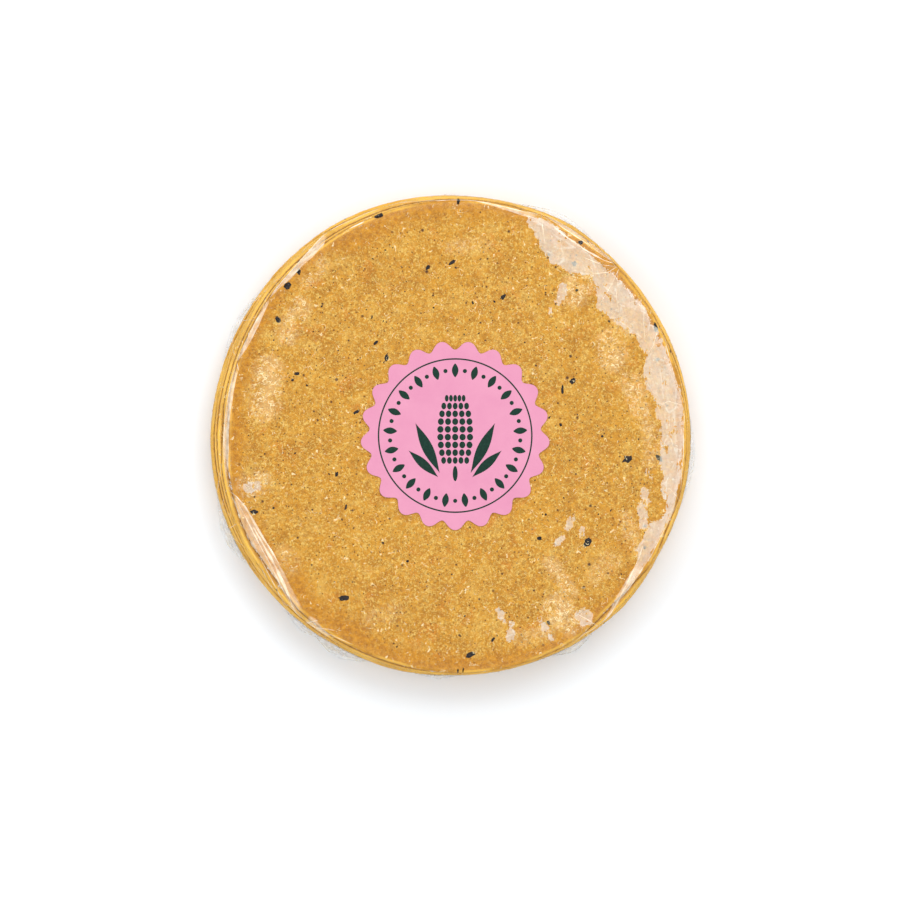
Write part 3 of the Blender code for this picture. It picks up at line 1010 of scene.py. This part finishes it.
def top_tortilla(shape, settings, material):
    """The tortilla that shows: its whole face is modelled, down to the crumb."""
    level = shape.count - 1
    bm = bmesh.new()
    # tone holds each edge's painted glow and painted shade
    layers = [bm.verts.layers.float.new(name) for name in ("rim", "tone")]
    bottom, top = level_faces(shape, level)
    flat_edge = EDGE_SECTION[0][0] * MM
    verts = disc_grid(bm, TOP_GRID)
    for vert in verts:
        share = vert.co.length
        angle = math.atan2(vert.co.y, vert.co.x)
        reach = share * (tortilla_edge(shape, level, angle, settings) - flat_edge)
        x, y = reach * math.cos(angle), reach * math.sin(angle)
        inset = (1.0 - share) * FACE_REACH + EDGE_SECTION[0][0]
        rise = swell(x, y, settings.relief) * smooth_step((1 - share) * 9) + crumbs(x, y, settings.crumb)
        vert.co = place_at(angle, reach, top + rise)
        vert[layers[0]] = damp_share(angle, inset * MM)
    edges = rim_edges(verts)
    for row in list(ring_rows(shape, level, bottom, top))[1:]:
        edges, verts = draw_ring(bm, edges)
        place_row(shape, level, settings, verts, row, layers)
    close_rings(bm, edges)
    return finish_piece(bm, f"tortilla_{shape.count:02d}", material, STACK_NODE)


# ---------------------------------------------------------------------------------------------------------
# Hull flecks
# ---------------------------------------------------------------------------------------------------------

FLECK_THICKNESS = 0.24 * MM
FLECK_SUNK = 0.02 * MM
FLECK_SEED = 29


def add_fleck(bm, where, normal, length, width, turn, seed, detail):
    """One flake of hull: a flattened, uneven pebble that lies in the dough."""
    made = bmesh.ops.create_icosphere(bm, subdivisions=detail, radius=0.5)["verts"]
    for vert in made:
        spot = vert.co + Vector((seed, 0.7 * seed, 0.0))
        bulge = 1.0 + 0.5 * noise.noise(spot * 2.4) + 0.3 * noise.noise(spot * 5.2)
        x, y, z = vert.co
        vert.co = (x * length * bulge, y * width * bulge, z * FLECK_THICKNESS)
    lie = Vector((0.0, 0.0, 1.0)).rotation_difference(normal).to_matrix().to_4x4()
    turned = Matrix.Translation(where) @ lie @ Matrix.Rotation(turn, 4, "Z")
    bmesh.ops.transform(bm, verts=made, matrix=turned)


def hull_flecks(shape, settings, material):
    """The larger flecks at their own places, then fine ones over the face, then some on the edges."""
    draw = random.Random(FLECK_SEED)
    top = shape.count - 1
    face = surface_of(bpy.data.objects[f"tortilla_{shape.count:02d}"])
    bm = bmesh.new()
    for number, (x, y, length, width, degrees) in enumerate(FLECKS):
        angle = math.atan2(y, x)
        reach = min(math.hypot(x, y) * MM, tortilla_edge(shape, top, angle, settings) - 0.4 * MM)
        where, normal = drop_onto(face, place_at(angle, reach, 0.0))
        where = where - normal * FLECK_SUNK
        add_fleck(bm, where, normal, length * MM, width * MM, math.radians(degrees), 3.0 * number, 3)
    for number in range(settings.small_flecks):
        angle = draw.uniform(0.0, math.tau)
        reach = (tortilla_edge(shape, top, angle, settings) - 2.5 * MM) * math.sqrt(draw.random())
        length = (0.32 + 0.9 * draw.random() ** 3) * MM
        width = length * draw.uniform(0.45, 0.95)
        where, normal = drop_onto(face, place_at(angle, reach, 0.0))
        where = where - normal * 2 * FLECK_SUNK
        add_fleck(bm, where, normal, length, width, draw.uniform(0.0, math.pi), 7.0 * number, 1)
    for number in range(settings.small_flecks // 2):
        level = draw.randrange(shape.count)
        angle = draw.uniform(0.0, math.tau)
        low, high = level_faces(shape, level)
        outward = Vector((math.cos(angle), math.sin(angle), 0.0))
        height = low + draw.uniform(0.3, 0.7) * (high - low)
        where = place_at(angle, tortilla_edge(shape, level, angle, settings) - 0.08 * MM, height)
        length = (0.4 + 1.1 * draw.random() ** 3) * MM
        add_fleck(bm, where, outward, length, 0.6 * length, draw.uniform(0.0, math.pi), 5.0 * number, 1)
    return finish_piece(bm, "hull_flecks", material, STACK_NODE)


# ---------------------------------------------------------------------------------------------------------
# Film
# ---------------------------------------------------------------------------------------------------------

FILM_GRID = 200  # cells across the film's top
WALL_ROWS = 4  # rings of film from one tortilla's edge to the next
LOOSE_DEPTH = 0.7  # millimetres, so that here and there the film touches down even inside a loose patch
RIM_INSET = 1.2 * MM
RIM_FALL = 0.2 * MM  # how far the film has come down at this inset
FOOT_INSET = 1.7 * MM  # the film turns flat under the pack this far inside the bottom edge
FILM_BASE = 0.03 * MM  # the film's lowest height
UNDER_PLEATS = 34
UNDER_RINGS = 16
# The folded corners in section: height in millimetres, and share of their reach past the stack.
FOOT_SECTION = ((1.15, 0.55), (0.95, 0.9), (0.8, 1.0), (0.6, 0.9), (0.35, 0.5))


def film_top(verts, shape, settings, relief, loose, glint_haze):
    """Lays the film over the top tortilla: close where it clings, stretched flat where it has let go."""
    level = shape.count - 1
    for vert in verts:
        share = vert.co.length
        angle = math.atan2(vert.co.y, vert.co.x)
        edge = shape.edges[level](angle)
        reach = share * (edge - RIM_INSET)
        x, y = reach * math.cos(angle), reach * math.sin(angle)
        depth = film_looseness(x, y)
        lift = smooth_step(0.5 + depth / (3.0 * MM))
        cling = swell(x, y, relief) * smooth_step((1 - share) * 9)
        ridge = 0.16 * abs(wave(x, y, 5.0 * MM, 2.2)) * lift
        fall = RIM_FALL * smooth_step((reach - edge + 2.8 * MM) / (1.8 * MM))
        height = TOP_OF_FILM + cling + lift * settings.looseness * (0.4 + ridge) - fall
        vert.co = place_at(angle, reach, height)
        vert[loose] = min(depth / MM, LOOSE_DEPTH)
        vert[glint_haze] = glint_haziness(x, y)


def wall_rows(shape, settings):
    """The rings of the film's wall, from the rim down: reach, height and looseness at an angle."""
    top = shape.count - 1

    def looseness(angle, height):
        """Film drawn across a stepped rim stands off it, the less the further down."""
        drop = (TOP_OF_FILM - height) / MM
        return 0.8 * shape.step_below(top, angle) / MM - 1.1 - 0.5 * drop

    def shoulder(angle):
        height = TOP_OF_FILM - RIM_FALL - 0.3 * MM
        return shape.edges[top](angle) - 0.35 * MM, height, looseness(angle, height)

    yield shoulder
    for level in range(top, -1, -1):
        def fullest(angle, level=level):
            return shape.edges[level](angle), shape.heights[level], looseness(angle, shape.heights[level])

        yield fullest
        for row in range(1, WALL_ROWS if level else 1):
            share = row / WALL_ROWS
            bow = math.sin(math.pi * share)

            def between(angle, level=level, share=share, bow=bow):
                upper, lower = shape.edges[level](angle), shape.edges[level - 1](angle)
                reach = upper + share * (lower - upper) - settings.sag * bow
                height = shape.heights[level] + share * (shape.heights[level - 1] - shape.heights[level])
                return reach, height, looseness(angle, height)

            yield between


def foot_rows(shape):
    """The rings at the foot: out to the folded corners' tips, and back in under the pack."""
    base = shape.edges[0]
    for millimetres, share in FOOT_SECTION:
        def folded(angle, height=millimetres * MM, share=share):
            corner = max(shape.foot(angle) - base(angle), 0.0)
            return base(angle) + share * corner, height, 0.25 * corner / MM - 0.9

        yield folded
    yield lambda angle: (base(angle) - 0.8 * MM, 0.12 * MM, -1.0)
    yield lambda angle: (base(angle) - FOOT_INSET, FILM_BASE, -1.0)


def under_fold(angle, share):
    """Height of the gathered film under the pack: pleats that run in towards a crumpled middle."""
    spin = angle + 0.5 * (1 - share)
    turned = 4.5 * wave(share * math.cos(angle), share * math.sin(angle), 0.45, 1.0)
    ripple = abs(math.sin(UNDER_PLEATS / 2 * spin + turned))
    crumple = 0.5 + 0.5 * wave(share * math.cos(angle), share * math.sin(angle), 0.12, 8.0)
    pleats = ripple**2 * smooth_step((1 - share) * 6)
    return BASE_REST * 0.75 * (pleats + 0.25 * crumple) * min(1.0, 4 * (1 - share))


def film_wrap(shape, settings, tortilla, material):
    """The film: one closed skin over the top, down the wall, out into its corners and gathered beneath."""
    bm = bmesh.new()
    loose = bm.verts.layers.float.new("loose")
    glint_haze = bm.verts.layers.float.new("glint_haze")
    verts = disc_grid(bm, FILM_GRID)
    film_top(verts, shape, settings, tortilla.relief, loose, glint_haze)
    edges = rim_edges(verts)
    for row in (*wall_rows(shape, settings), *foot_rows(shape)):
        edges, verts = draw_ring(bm, edges)
        for vert in verts:
            angle = angle_of(vert.co)
            reach, height, depth = row(angle)
            down = 1 - height / TOP_OF_FILM
            gather = wave(100 * math.cos(angle), 100 * math.sin(angle), 5.5, 0.25 * down)
            inward = settings.pleat * down * max(gather, 0.0)
            inward += 0.05 * MM * wave(50 * angle, 90 * down, 9.0, 6.0)
            vert.co = place_at(angle, reach - inward, height)
            vert[loose] = depth + 0.3 * gather * down
            vert[glint_haze] = 0.03
    for ring in range(1, UNDER_RINGS + 1):
        share = 1 - ring / (UNDER_RINGS + 0.5)
        edges, verts = draw_ring(bm, edges)
        for vert in verts:
            angle = angle_of(vert.co)
            reach = share * (shape.edges[0](angle) - FOOT_INSET)
            vert.co = place_at(angle, reach, FILM_BASE + under_fold(angle, share))
            vert[loose] = 5.0 * (vert.co.z / MM) - 1.0
            vert[glint_haze] = 0.3
    close_rings(bm, edges)
    return finish_piece(bm, "film_wrap", material, STACK_NODE, smooth_angle=75.0)


# ---------------------------------------------------------------------------------------------------------
# Folds
# ---------------------------------------------------------------------------------------------------------

FOLD_STEP = 0.5 * MM
FOLD_LIFT = 0.05 * MM  # folds and hems lie this far over the film
HEM_WIDTH = 0.24  # millimetres
VEIL_STEP = 0.25  # degrees
VEIL_CELLS = 8  # across a veil
VEIL_LIFT = 0.08 * MM
# The white of the corners and of the wall's creases is partly painted sheen
CORNER_SHEEN_DENSITY = 0.85
CREASE_SHEEN_DENSITY = 0.6
CREASE_SEED = 17
CREASE_SPREADS = (-1.5, -0.8, -0.2, 0.5, 1.2)  # where they reach the rim, in widths of their corner
LOOSE_CREASES = 14  # creases on the wall that start from no corner


def rim_samples(film, shape, points):
    """Places on the film along a fold near the rim, from its bends in degrees and millimetres out."""
    corners = [place_at(math.radians(degrees), reach * MM, 0.0) for degrees, reach in points]
    for first, second in zip(corners, corners[1:]):
        count = max(int((second - first).length / FOLD_STEP), 1)
        for step in range(count):
            point = first.lerp(second, step / count)
            angle = angle_of(point)
            reach = min((point - AXIS).xy.length, shape.rim(angle))
            yield drop_onto(film, place_at(angle, reach, 0.0))


def hem_samples(film, shape, tip, root):
    """Places on the film along a corner's hem, from its tip as far as it lies clear of the stack."""
    start = place_at(math.radians(tip), shape.clear_foot(math.radians(tip)) - 0.1 * MM, 0.0)
    end = place_at(math.radians(root), shape.girth(math.radians(root)), 0.0)
    count = int((end - start).length / FOLD_STEP)
    for step in range(count):
        point = start.lerp(end, step / count)
        angle = angle_of(point)
        reach = min((point - AXIS).xy.length, shape.clear_foot(angle))
        if reach < shape.girth(angle) + 0.12 * MM:
            return
        yield drop_onto(film, place_at(angle, reach, 0.0))


def wall_samples(film, points):
    """Places on the film's wall along a crease, from its corners in degrees and millimetres up."""
    for (first, low), (second, high) in zip(points, points[1:]):
        count = max(int(max(abs(second - first) * 1.2, abs(high - low)) * MM / FOLD_STEP), 1)
        for step in range(count):
            share = step / count
            degrees, height = first + share * (second - first), low + share * (high - low)
            yield meet_wall(film, math.radians(degrees), height * MM)


def lay_fold(bm, samples, width):
    """Lays a narrow, tapering strip of doubled film along places on the film's surface."""
    samples = list(samples)
    if len(samples) < 3:
        return
    across = []
    for number, (where, normal) in enumerate(samples):
        ahead = samples[min(number + 1, len(samples) - 1)][0] - samples[max(number - 1, 0)][0]
        side = normal.cross(ahead).normalized()
        share = number / (len(samples) - 1)
        uneven = 0.75 + 0.5 * noise.noise(where / (3.0 * MM))
        half = width * MM / 2 * uneven * math.sin(math.pi * min(max(share, 0.04), 0.96)) ** 0.6
        row = [bm.verts.new(where + side * half * edge + normal * FOLD_LIFT) for edge in (-1, 1)]
        across.append(bm.edges.new(row))
    for first, second in zip(across, across[1:]):
        bmesh.ops.bridge_loops(bm, edges=[first, second])


def lay_veil(bm, film, limit, dense, density, table):
    """Lays a band of loose film between its two creases, its borders denser than its middle."""
    first, last = table[0][0], table[-1][0]
    steps = int((last - first) / VEIL_STEP)
    for vert in bmesh.ops.create_grid(bm, x_segments=steps, y_segments=VEIL_CELLS, size=0.5)["verts"]:
        along = min(max(vert.co.x + 0.5, 0.0), 1.0)
        share = min(max(vert.co.y + 0.5, 0.0), 1.0)
        degrees = first + along * (last - first)
        inner, outer = read_table(table, degrees)
        angle = math.radians(degrees)
        reach = min(inner + share * (outer - inner), limit(angle))
        where, normal = drop_onto(film, place_at(angle, reach, 0.0))
        vert.co = where + normal * VEIL_LIFT
        taper = smooth_step(8 * min(along, 1 - along))
        thinner = 1.0 - 0.3 * math.sin(math.pi * share) ** 0.5
        vert[dense] = density * taper * thinner * smooth_step(4 * share + 0.4)


def wall_creases():
    """The creases that fan up the wall from each folded corner, and a few loose ones between them."""
    draw = random.Random(CREASE_SEED)
    for first, tip, last in CORNERS:
        for spread in CREASE_SPREADS:
            end = tip + spread * draw.uniform(0.6, 1.1) * (last - first)
            bend = (tip + end) / 2 + draw.uniform(-1.5, 1.5)
            width = draw.uniform(0.14, 0.36)
            yield width, ((tip + 0.1 * (end - tip), 1.7), (bend, draw.uniform(7, 12)), (end, 19.3))
    for _ in range(LOOSE_CREASES):
        start = draw.uniform(0.0, 360.0)
        low = draw.uniform(3.0, 9.0)
        width = draw.uniform(0.12, 0.26)
        yield width, ((start, low), (start + draw.uniform(-9, 9), low + draw.uniform(5, 9.5)))


def corner_veils(shape):
    """The folded corners themselves, as bands between the stack and the corner's outline, their white partly
    painted sheen.
    """
    for first, tip, last in CORNERS:
        rows = []
        for degrees in range(first, last + 1):
            angle = math.radians(degrees)
            inner, outer = shape.girth(angle) + 0.1 * MM, shape.clear_foot(angle)
            if outer > inner + 0.1 * MM:
                rows.append((degrees, inner / MM, outer / MM))
        if len(rows) > 2:
            yield CORNER_SHEEN_DENSITY, *rows


def finish_sheet(bm, name, material):
    """Finishes a piece of thin sheets that lie on the film, all facing out."""
    bm.normal_update()
    inward = [face for face in bm.faces if face.normal.dot(face.calc_center_median() - AXIS) < 0]
    bmesh.ops.reverse_faces(bm, faces=inward)
    return finish_piece(bm, name, material, STACK_NODE, closed=False)


def film_folds(shape, material):
    """The folds and veils at the rim, the creases on the wall and the folded corners at the foot."""
    film = surface_of(bpy.data.objects["film_wrap"])
    bm = bmesh.new()
    # dense holds how white each strip is, partly painted highlight
    dense = bm.verts.layers.float.new("dense")
    for width, *points in FOLDS:
        lay_fold(bm, rim_samples(film, shape, points), width)
    for vert in bm.verts:
        vert[dense] = 1.0
    marked = set(bm.verts)
    for width, points in wall_creases():
        lay_fold(bm, wall_samples(film, points), width)
    for vert in set(bm.verts) - marked:
        vert[dense] = CREASE_SHEEN_DENSITY
    for density, *table in VEILS:
        lay_veil(bm, film, shape.rim, dense, density, table)
    for density, *table in corner_veils(shape):
        lay_veil(bm, film, shape.clear_foot, dense, density, table)
    return finish_sheet(bm, "film_folds", material)


def film_hems(shape, material):
    """The edges of the folded corners."""
    film = surface_of(bpy.data.objects["film_wrap"])
    bm = bmesh.new()
    for first, tip, last in CORNERS:
        for root in (first, last):
            lay_fold(bm, hem_samples(film, shape, tip, root), HEM_WIDTH)
    return finish_sheet(bm, "film_hems", material)


# ---------------------------------------------------------------------------------------------------------
# Seal
# ---------------------------------------------------------------------------------------------------------

SEAL_GRID = 96  # cells across the paper
LOBE_HEIGHT = 1.25 * MM
LOBE_FULLNESS = 0.22  # how much rounder a lobe is than a notch
INK_LIFT = 0.02 * MM
INK_THICKNESS = 0.02 * MM
WREATH_REACH = 18.9 * MM
RING_REACH = 22.2 * MM
RING_WIDTH = 0.42 * MM
RING_POINTS = 180
EAR_ROWS = 9
EAR_COLUMNS = 5
# The husk leaves: lean in degrees, then length, width and how far out and up they lie, in millimetres.
LEAVES = ((64, 16.0, 3.1, 8.0, -3.6), (42, 11.5, 2.5, 9.2, -8.2))


def seal_middle():
    """The middle of the frame's seal."""
    low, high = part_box(SEAL_NODE)
    return (low + high) / 2


def lobe_rise(angle, lobes):
    """How far the scalloped outline stands past its mean: full round lobes and narrower notches."""
    turn = math.cos(lobes * (angle + math.pi / 2))
    return LOBE_HEIGHT * (turn + LOBE_FULLNESS * (1 - turn**2))


def paper_seal(settings, material):
    """The paper, laid over the film's ups and downs, with its scalloped edge."""
    film = surface_of(bpy.data.objects["film_wrap"])
    centre = seal_middle()
    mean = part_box(SEAL_NODE)[1].x - centre.x - LOBE_HEIGHT
    bm = bmesh.new()
    for vert in disc_grid(bm, SEAL_GRID):
        share = vert.co.length
        angle = math.atan2(vert.co.y, vert.co.x)
        reach = share * (mean + share**5 * lobe_rise(angle, settings.lobes))
        x, y = centre.x + reach * math.cos(angle), centre.y + reach * math.sin(angle)
        surface = drop_onto(film, Vector((x, y, 0.0)))[0].z
        vert.co = (x, y, surface + settings.gap + 0.04 * MM * wave(x, y, 11 * MM, 5.0))
    bmesh.ops.solidify(bm, geom=bm.faces[:], thickness=-settings.thickness)
    return finish_piece(bm, "scalloped_seal", material, SEAL_NODE, smooth_angle=40.0)


def add_mark(bm, x, y, length, width, turn, cells=6, pointed=0.0):
    """One printed mark: a round or pointed oval, x and y from the seal's middle."""
    made = disc_grid(bm, cells)
    for vert in made:
        pinch = 1.0 - pointed * vert.co.x**2
        vert.co = Vector((vert.co.x * length / 2, vert.co.y * width / 2 * pinch, 0.0))
    turned = Matrix.Translation((x, y, 0.0)) @ Matrix.Rotation(turn, 4, "Z")
    bmesh.ops.transform(bm, verts=made, matrix=turned)


def add_ring_line(bm, reach, width):
    """A thin printed circle."""
    inner = bmesh.ops.create_circle(bm, segments=RING_POINTS, radius=reach - width / 2)["verts"]
    _, outer = draw_ring(bm, edges_at(inner))
    bmesh.ops.scale(bm, verts=outer, vec=((reach + width / 2) / (reach - width / 2),) * 2 + (1.0,))


def maize_ear(bm):
    """The motif in the middle: an upright ear of maize, its kernels in rows, between husk leaves."""
    for row in range(EAR_ROWS):
        height = (row - (EAR_ROWS - 1) / 2) * 2.25 * MM + 1.8 * MM
        swelling = math.sqrt(max(1 - ((height - 0.6 * MM) / (12.4 * MM)) ** 2, 0.0))
        for column in range(EAR_COLUMNS):
            side = (column - (EAR_COLUMNS - 1) / 2) * 2.15 * MM * swelling
            add_mark(bm, side, height, 1.95 * MM, 1.8 * MM * max(swelling, 0.6), math.pi / 2)
    for side in (-1, 1):
        for lean, length, width, out, up in LEAVES:
            turn = math.radians(lean if side > 0 else 180 - lean)
            add_mark(bm, side * out * MM, up * MM, length * MM, width * MM, turn, cells=14, pointed=0.9)
    add_mark(bm, 0.0, -11.0 * MM, 4.4 * MM, 1.4 * MM, math.pi / 2)


def kernel_wreath(bm, lobes):
    """A wreath of kernels and dots that runs round the motif."""
    for number in range(2 * lobes):
        angle = math.pi * number / lobes + math.pi / 2
        x, y = WREATH_REACH * math.cos(angle), WREATH_REACH * math.sin(angle)
        if number % 2:
            add_mark(bm, x, y, 1.2 * MM, 1.2 * MM, 0.0)
        else:
            add_mark(bm, x, y, 4.0 * MM, 1.9 * MM, angle, pointed=0.5)


def seal_print(settings, material):
    """The print: the motif, its wreath and a thin ring, laid on the paper."""
    bm = bmesh.new()
    maize_ear(bm)
    kernel_wreath(bm, settings.lobes)
    add_ring_line(bm, RING_REACH, RING_WIDTH)
    paper = surface_of(bpy.data.objects["scalloped_seal"])
    centre = seal_middle()
    for vert in bm.verts:
        place = centre + vert.co
        place.z = drop_onto(paper, place)[0].z + INK_LIFT
        vert.co = place
    bm.normal_update()
    bmesh.ops.reverse_faces(bm, faces=[face for face in bm.faces if face.normal.z < 0])
    bmesh.ops.solidify(bm, geom=bm.faces[:], thickness=INK_THICKNESS)
    return finish_piece(bm, "seal_print", material, SEAL_NODE)


# ---------------------------------------------------------------------------------------------------------
# Stage
# ---------------------------------------------------------------------------------------------------------

FLOOR_SIZE = 3.0
LOOK_AT = Vector((-0.4 * MM, -3.7 * MM, 20.5 * MM))  # what the camera and the lights point at
SENSOR = 36.0  # millimetres
SKY_COLOUR = (0.80, 0.92, 1.03, 1.0)  # linear, the slightly blue light of an overcast window
CLIP_START = 0.05


def add_floor(settings):
    """A plain floor under the pack."""
    bm = bmesh.new()
    bmesh.ops.create_grid(bm, x_segments=1, y_segments=1, size=FLOOR_SIZE / 2)
    mesh = bpy.data.meshes.new("floor")
    bm.to_mesh(mesh)
    bm.free()
    mesh.materials.append(floor_material(settings))
    floor = bpy.data.objects.new("floor", mesh)
    bpy.context.scene.collection.objects.link(floor)


def add_light(name, azimuth, elevation, distance, size, power):
    """A soft box that faces the pack: azimuth 0 is +X and 90 is +Y, and elevation is over the floor."""
    turn, rise = math.radians(azimuth), math.radians(elevation)
    away = Vector((math.cos(turn) * math.cos(rise), math.sin(turn) * math.cos(rise), math.sin(rise)))
    light = bpy.data.lights.new(name, "AREA")
    light.shape = "RECTANGLE"
    light.size, light.size_y = size
    light.energy = power
    lamp = bpy.data.objects.new(name, light)
    lamp.location = LOOK_AT + away * distance
    lamp.rotation_euler = away.to_track_quat("Z", "Y").to_euler()
    bpy.context.scene.collection.objects.link(lamp)


def add_world(settings):
    """Even light from all round."""
    world = bpy.data.worlds.new("soft studio")
    world.use_nodes = True
    shader = world.node_tree.nodes["Background"]
    shader.inputs["Color"].default_value = SKY_COLOUR
    shader.inputs["Strength"].default_value = settings.sky
    bpy.context.scene.world = world


def add_camera(settings):
    """A camera far above the pack, looking straight down."""
    camera = bpy.data.cameras.new("camera")
    camera.sensor_width = SENSOR
    camera.lens = SENSOR * settings.camera_height / settings.field
    camera.clip_start = CLIP_START
    viewer = bpy.data.objects.new("camera", camera)
    viewer.location = LOOK_AT + Vector((0.0, 0.0, settings.camera_height))
    bpy.context.scene.collection.objects.link(viewer)
    bpy.context.scene.camera = viewer


# ---------------------------------------------------------------------------------------------------------
# Operators, panel and run
# ---------------------------------------------------------------------------------------------------------


class TORTILLA_OT_tortillas(bpy.types.Operator):
    """Stacks the tortillas inside the frame's outline"""

    bl_idname = "tortilla_pack.add_tortillas"
    bl_label = "Add Tortillas"

    def execute(self, context):
        settings = context.scene.tortilla_pack.tortilla
        shape = StackShape(settings.count)
        material = dough_material(settings)
        for level in range(shape.count - 1):
            lower_tortilla(shape, level, settings, material)
        top_tortilla(shape, settings, material)
        return {"FINISHED"}


class TORTILLA_OT_flecks(bpy.types.Operator):
    """Scatters flecks of charred hull over the top tortilla and the rims"""

    bl_idname = "tortilla_pack.add_flecks"
    bl_label = "Add Hull Flecks"

    def execute(self, context):
        settings = context.scene.tortilla_pack.tortilla
        hull_flecks(StackShape(settings.count), settings, hull_material(settings))
        return {"FINISHED"}


class TORTILLA_OT_film(bpy.types.Operator):
    """Draws the clear film over the stack and lays its folds"""

    bl_idname = "tortilla_pack.add_film"
    bl_label = "Add Film"

    def execute(self, context):
        pack = context.scene.tortilla_pack
        shape = StackShape(pack.tortilla.count)
        film_wrap(shape, pack.film, pack.tortilla, film_material(pack.film))
        film_folds(shape, fold_material(pack.film))
        film_hems(shape, hem_material(pack.film))
        return {"FINISHED"}


class TORTILLA_OT_seal(bpy.types.Operator):
    """Sticks the printed paper seal on the film"""

    bl_idname = "tortilla_pack.add_seal"
    bl_label = "Add Seal"

    def execute(self, context):
        settings = context.scene.tortilla_pack.seal
        paper_seal(settings, paper_material(settings))
        seal_print(settings, ink_material(settings))
        return {"FINISHED"}


class TORTILLA_OT_stage(bpy.types.Operator):
    """Sets up the floor, the soft light and the camera above"""

    bl_idname = "tortilla_pack.add_stage"
    bl_label = "Add Stage"

    def execute(self, context):
        settings = context.scene.tortilla_pack.stage
        add_floor(settings)
        add_world(settings)
        add_light("key light", 82.0, 55.0, 1.3, (1.1, 0.8), settings.key)
        add_light("right light", 15.0, 58.0, 1.2, (0.9, 0.5), settings.side)
        add_light("left light", 175.0, 45.0, 1.2, (0.9, 0.5), settings.side)
        add_light("front light", 270.0, 60.0, 1.3, (1.1, 0.8), settings.fill)
        add_camera(settings)
        context.scene.view_settings.view_transform = "Standard"
        return {"FINISHED"}


class TORTILLA_PT_pack(bpy.types.Panel):
    """Lists the pieces of the pack in the sidebar"""

    bl_idname = "TORTILLA_PT_pack"
    bl_label = "Tortilla Pack"
    bl_space_type = "VIEW_3D"
    bl_region_type = "UI"
    bl_category = "Tortilla Pack"

    def draw(self, context):
        pack = context.scene.tortilla_pack
        for group in (pack.tortilla, pack.film, pack.seal, pack.stage):
            box = self.layout.box()
            for name in group.bl_rna.properties.keys():
                if name not in ("rna_type", "name"):
                    box.prop(group, name)
        for operator in OPERATORS:
            self.layout.operator(operator.bl_idname)


OPERATORS = (
    TORTILLA_OT_tortillas,
    TORTILLA_OT_flecks,
    TORTILLA_OT_film,
    TORTILLA_OT_seal,
    TORTILLA_OT_stage,
)
CLASSES = (
    TortillaSettings,
    FilmSettings,
    SealSettings,
    StageSettings,
    PackSettings,
    *OPERATORS,
    TORTILLA_PT_pack,
)


def register():
    for made in CLASSES:
        bpy.utils.register_class(made)
    bpy.types.Scene.tortilla_pack = PointerProperty(type=PackSettings)


def unregister():
    del bpy.types.Scene.tortilla_pack
    for made in reversed(CLASSES):
        bpy.utils.unregister_class(made)


def main():
    register()
    bpy.ops.tortilla_pack.add_tortillas()
    bpy.ops.tortilla_pack.add_flecks()
    bpy.ops.tortilla_pack.add_film()
    bpy.ops.tortilla_pack.add_seal()
    bpy.ops.tortilla_pack.add_stage()


if __name__ == "__main__":
    main()
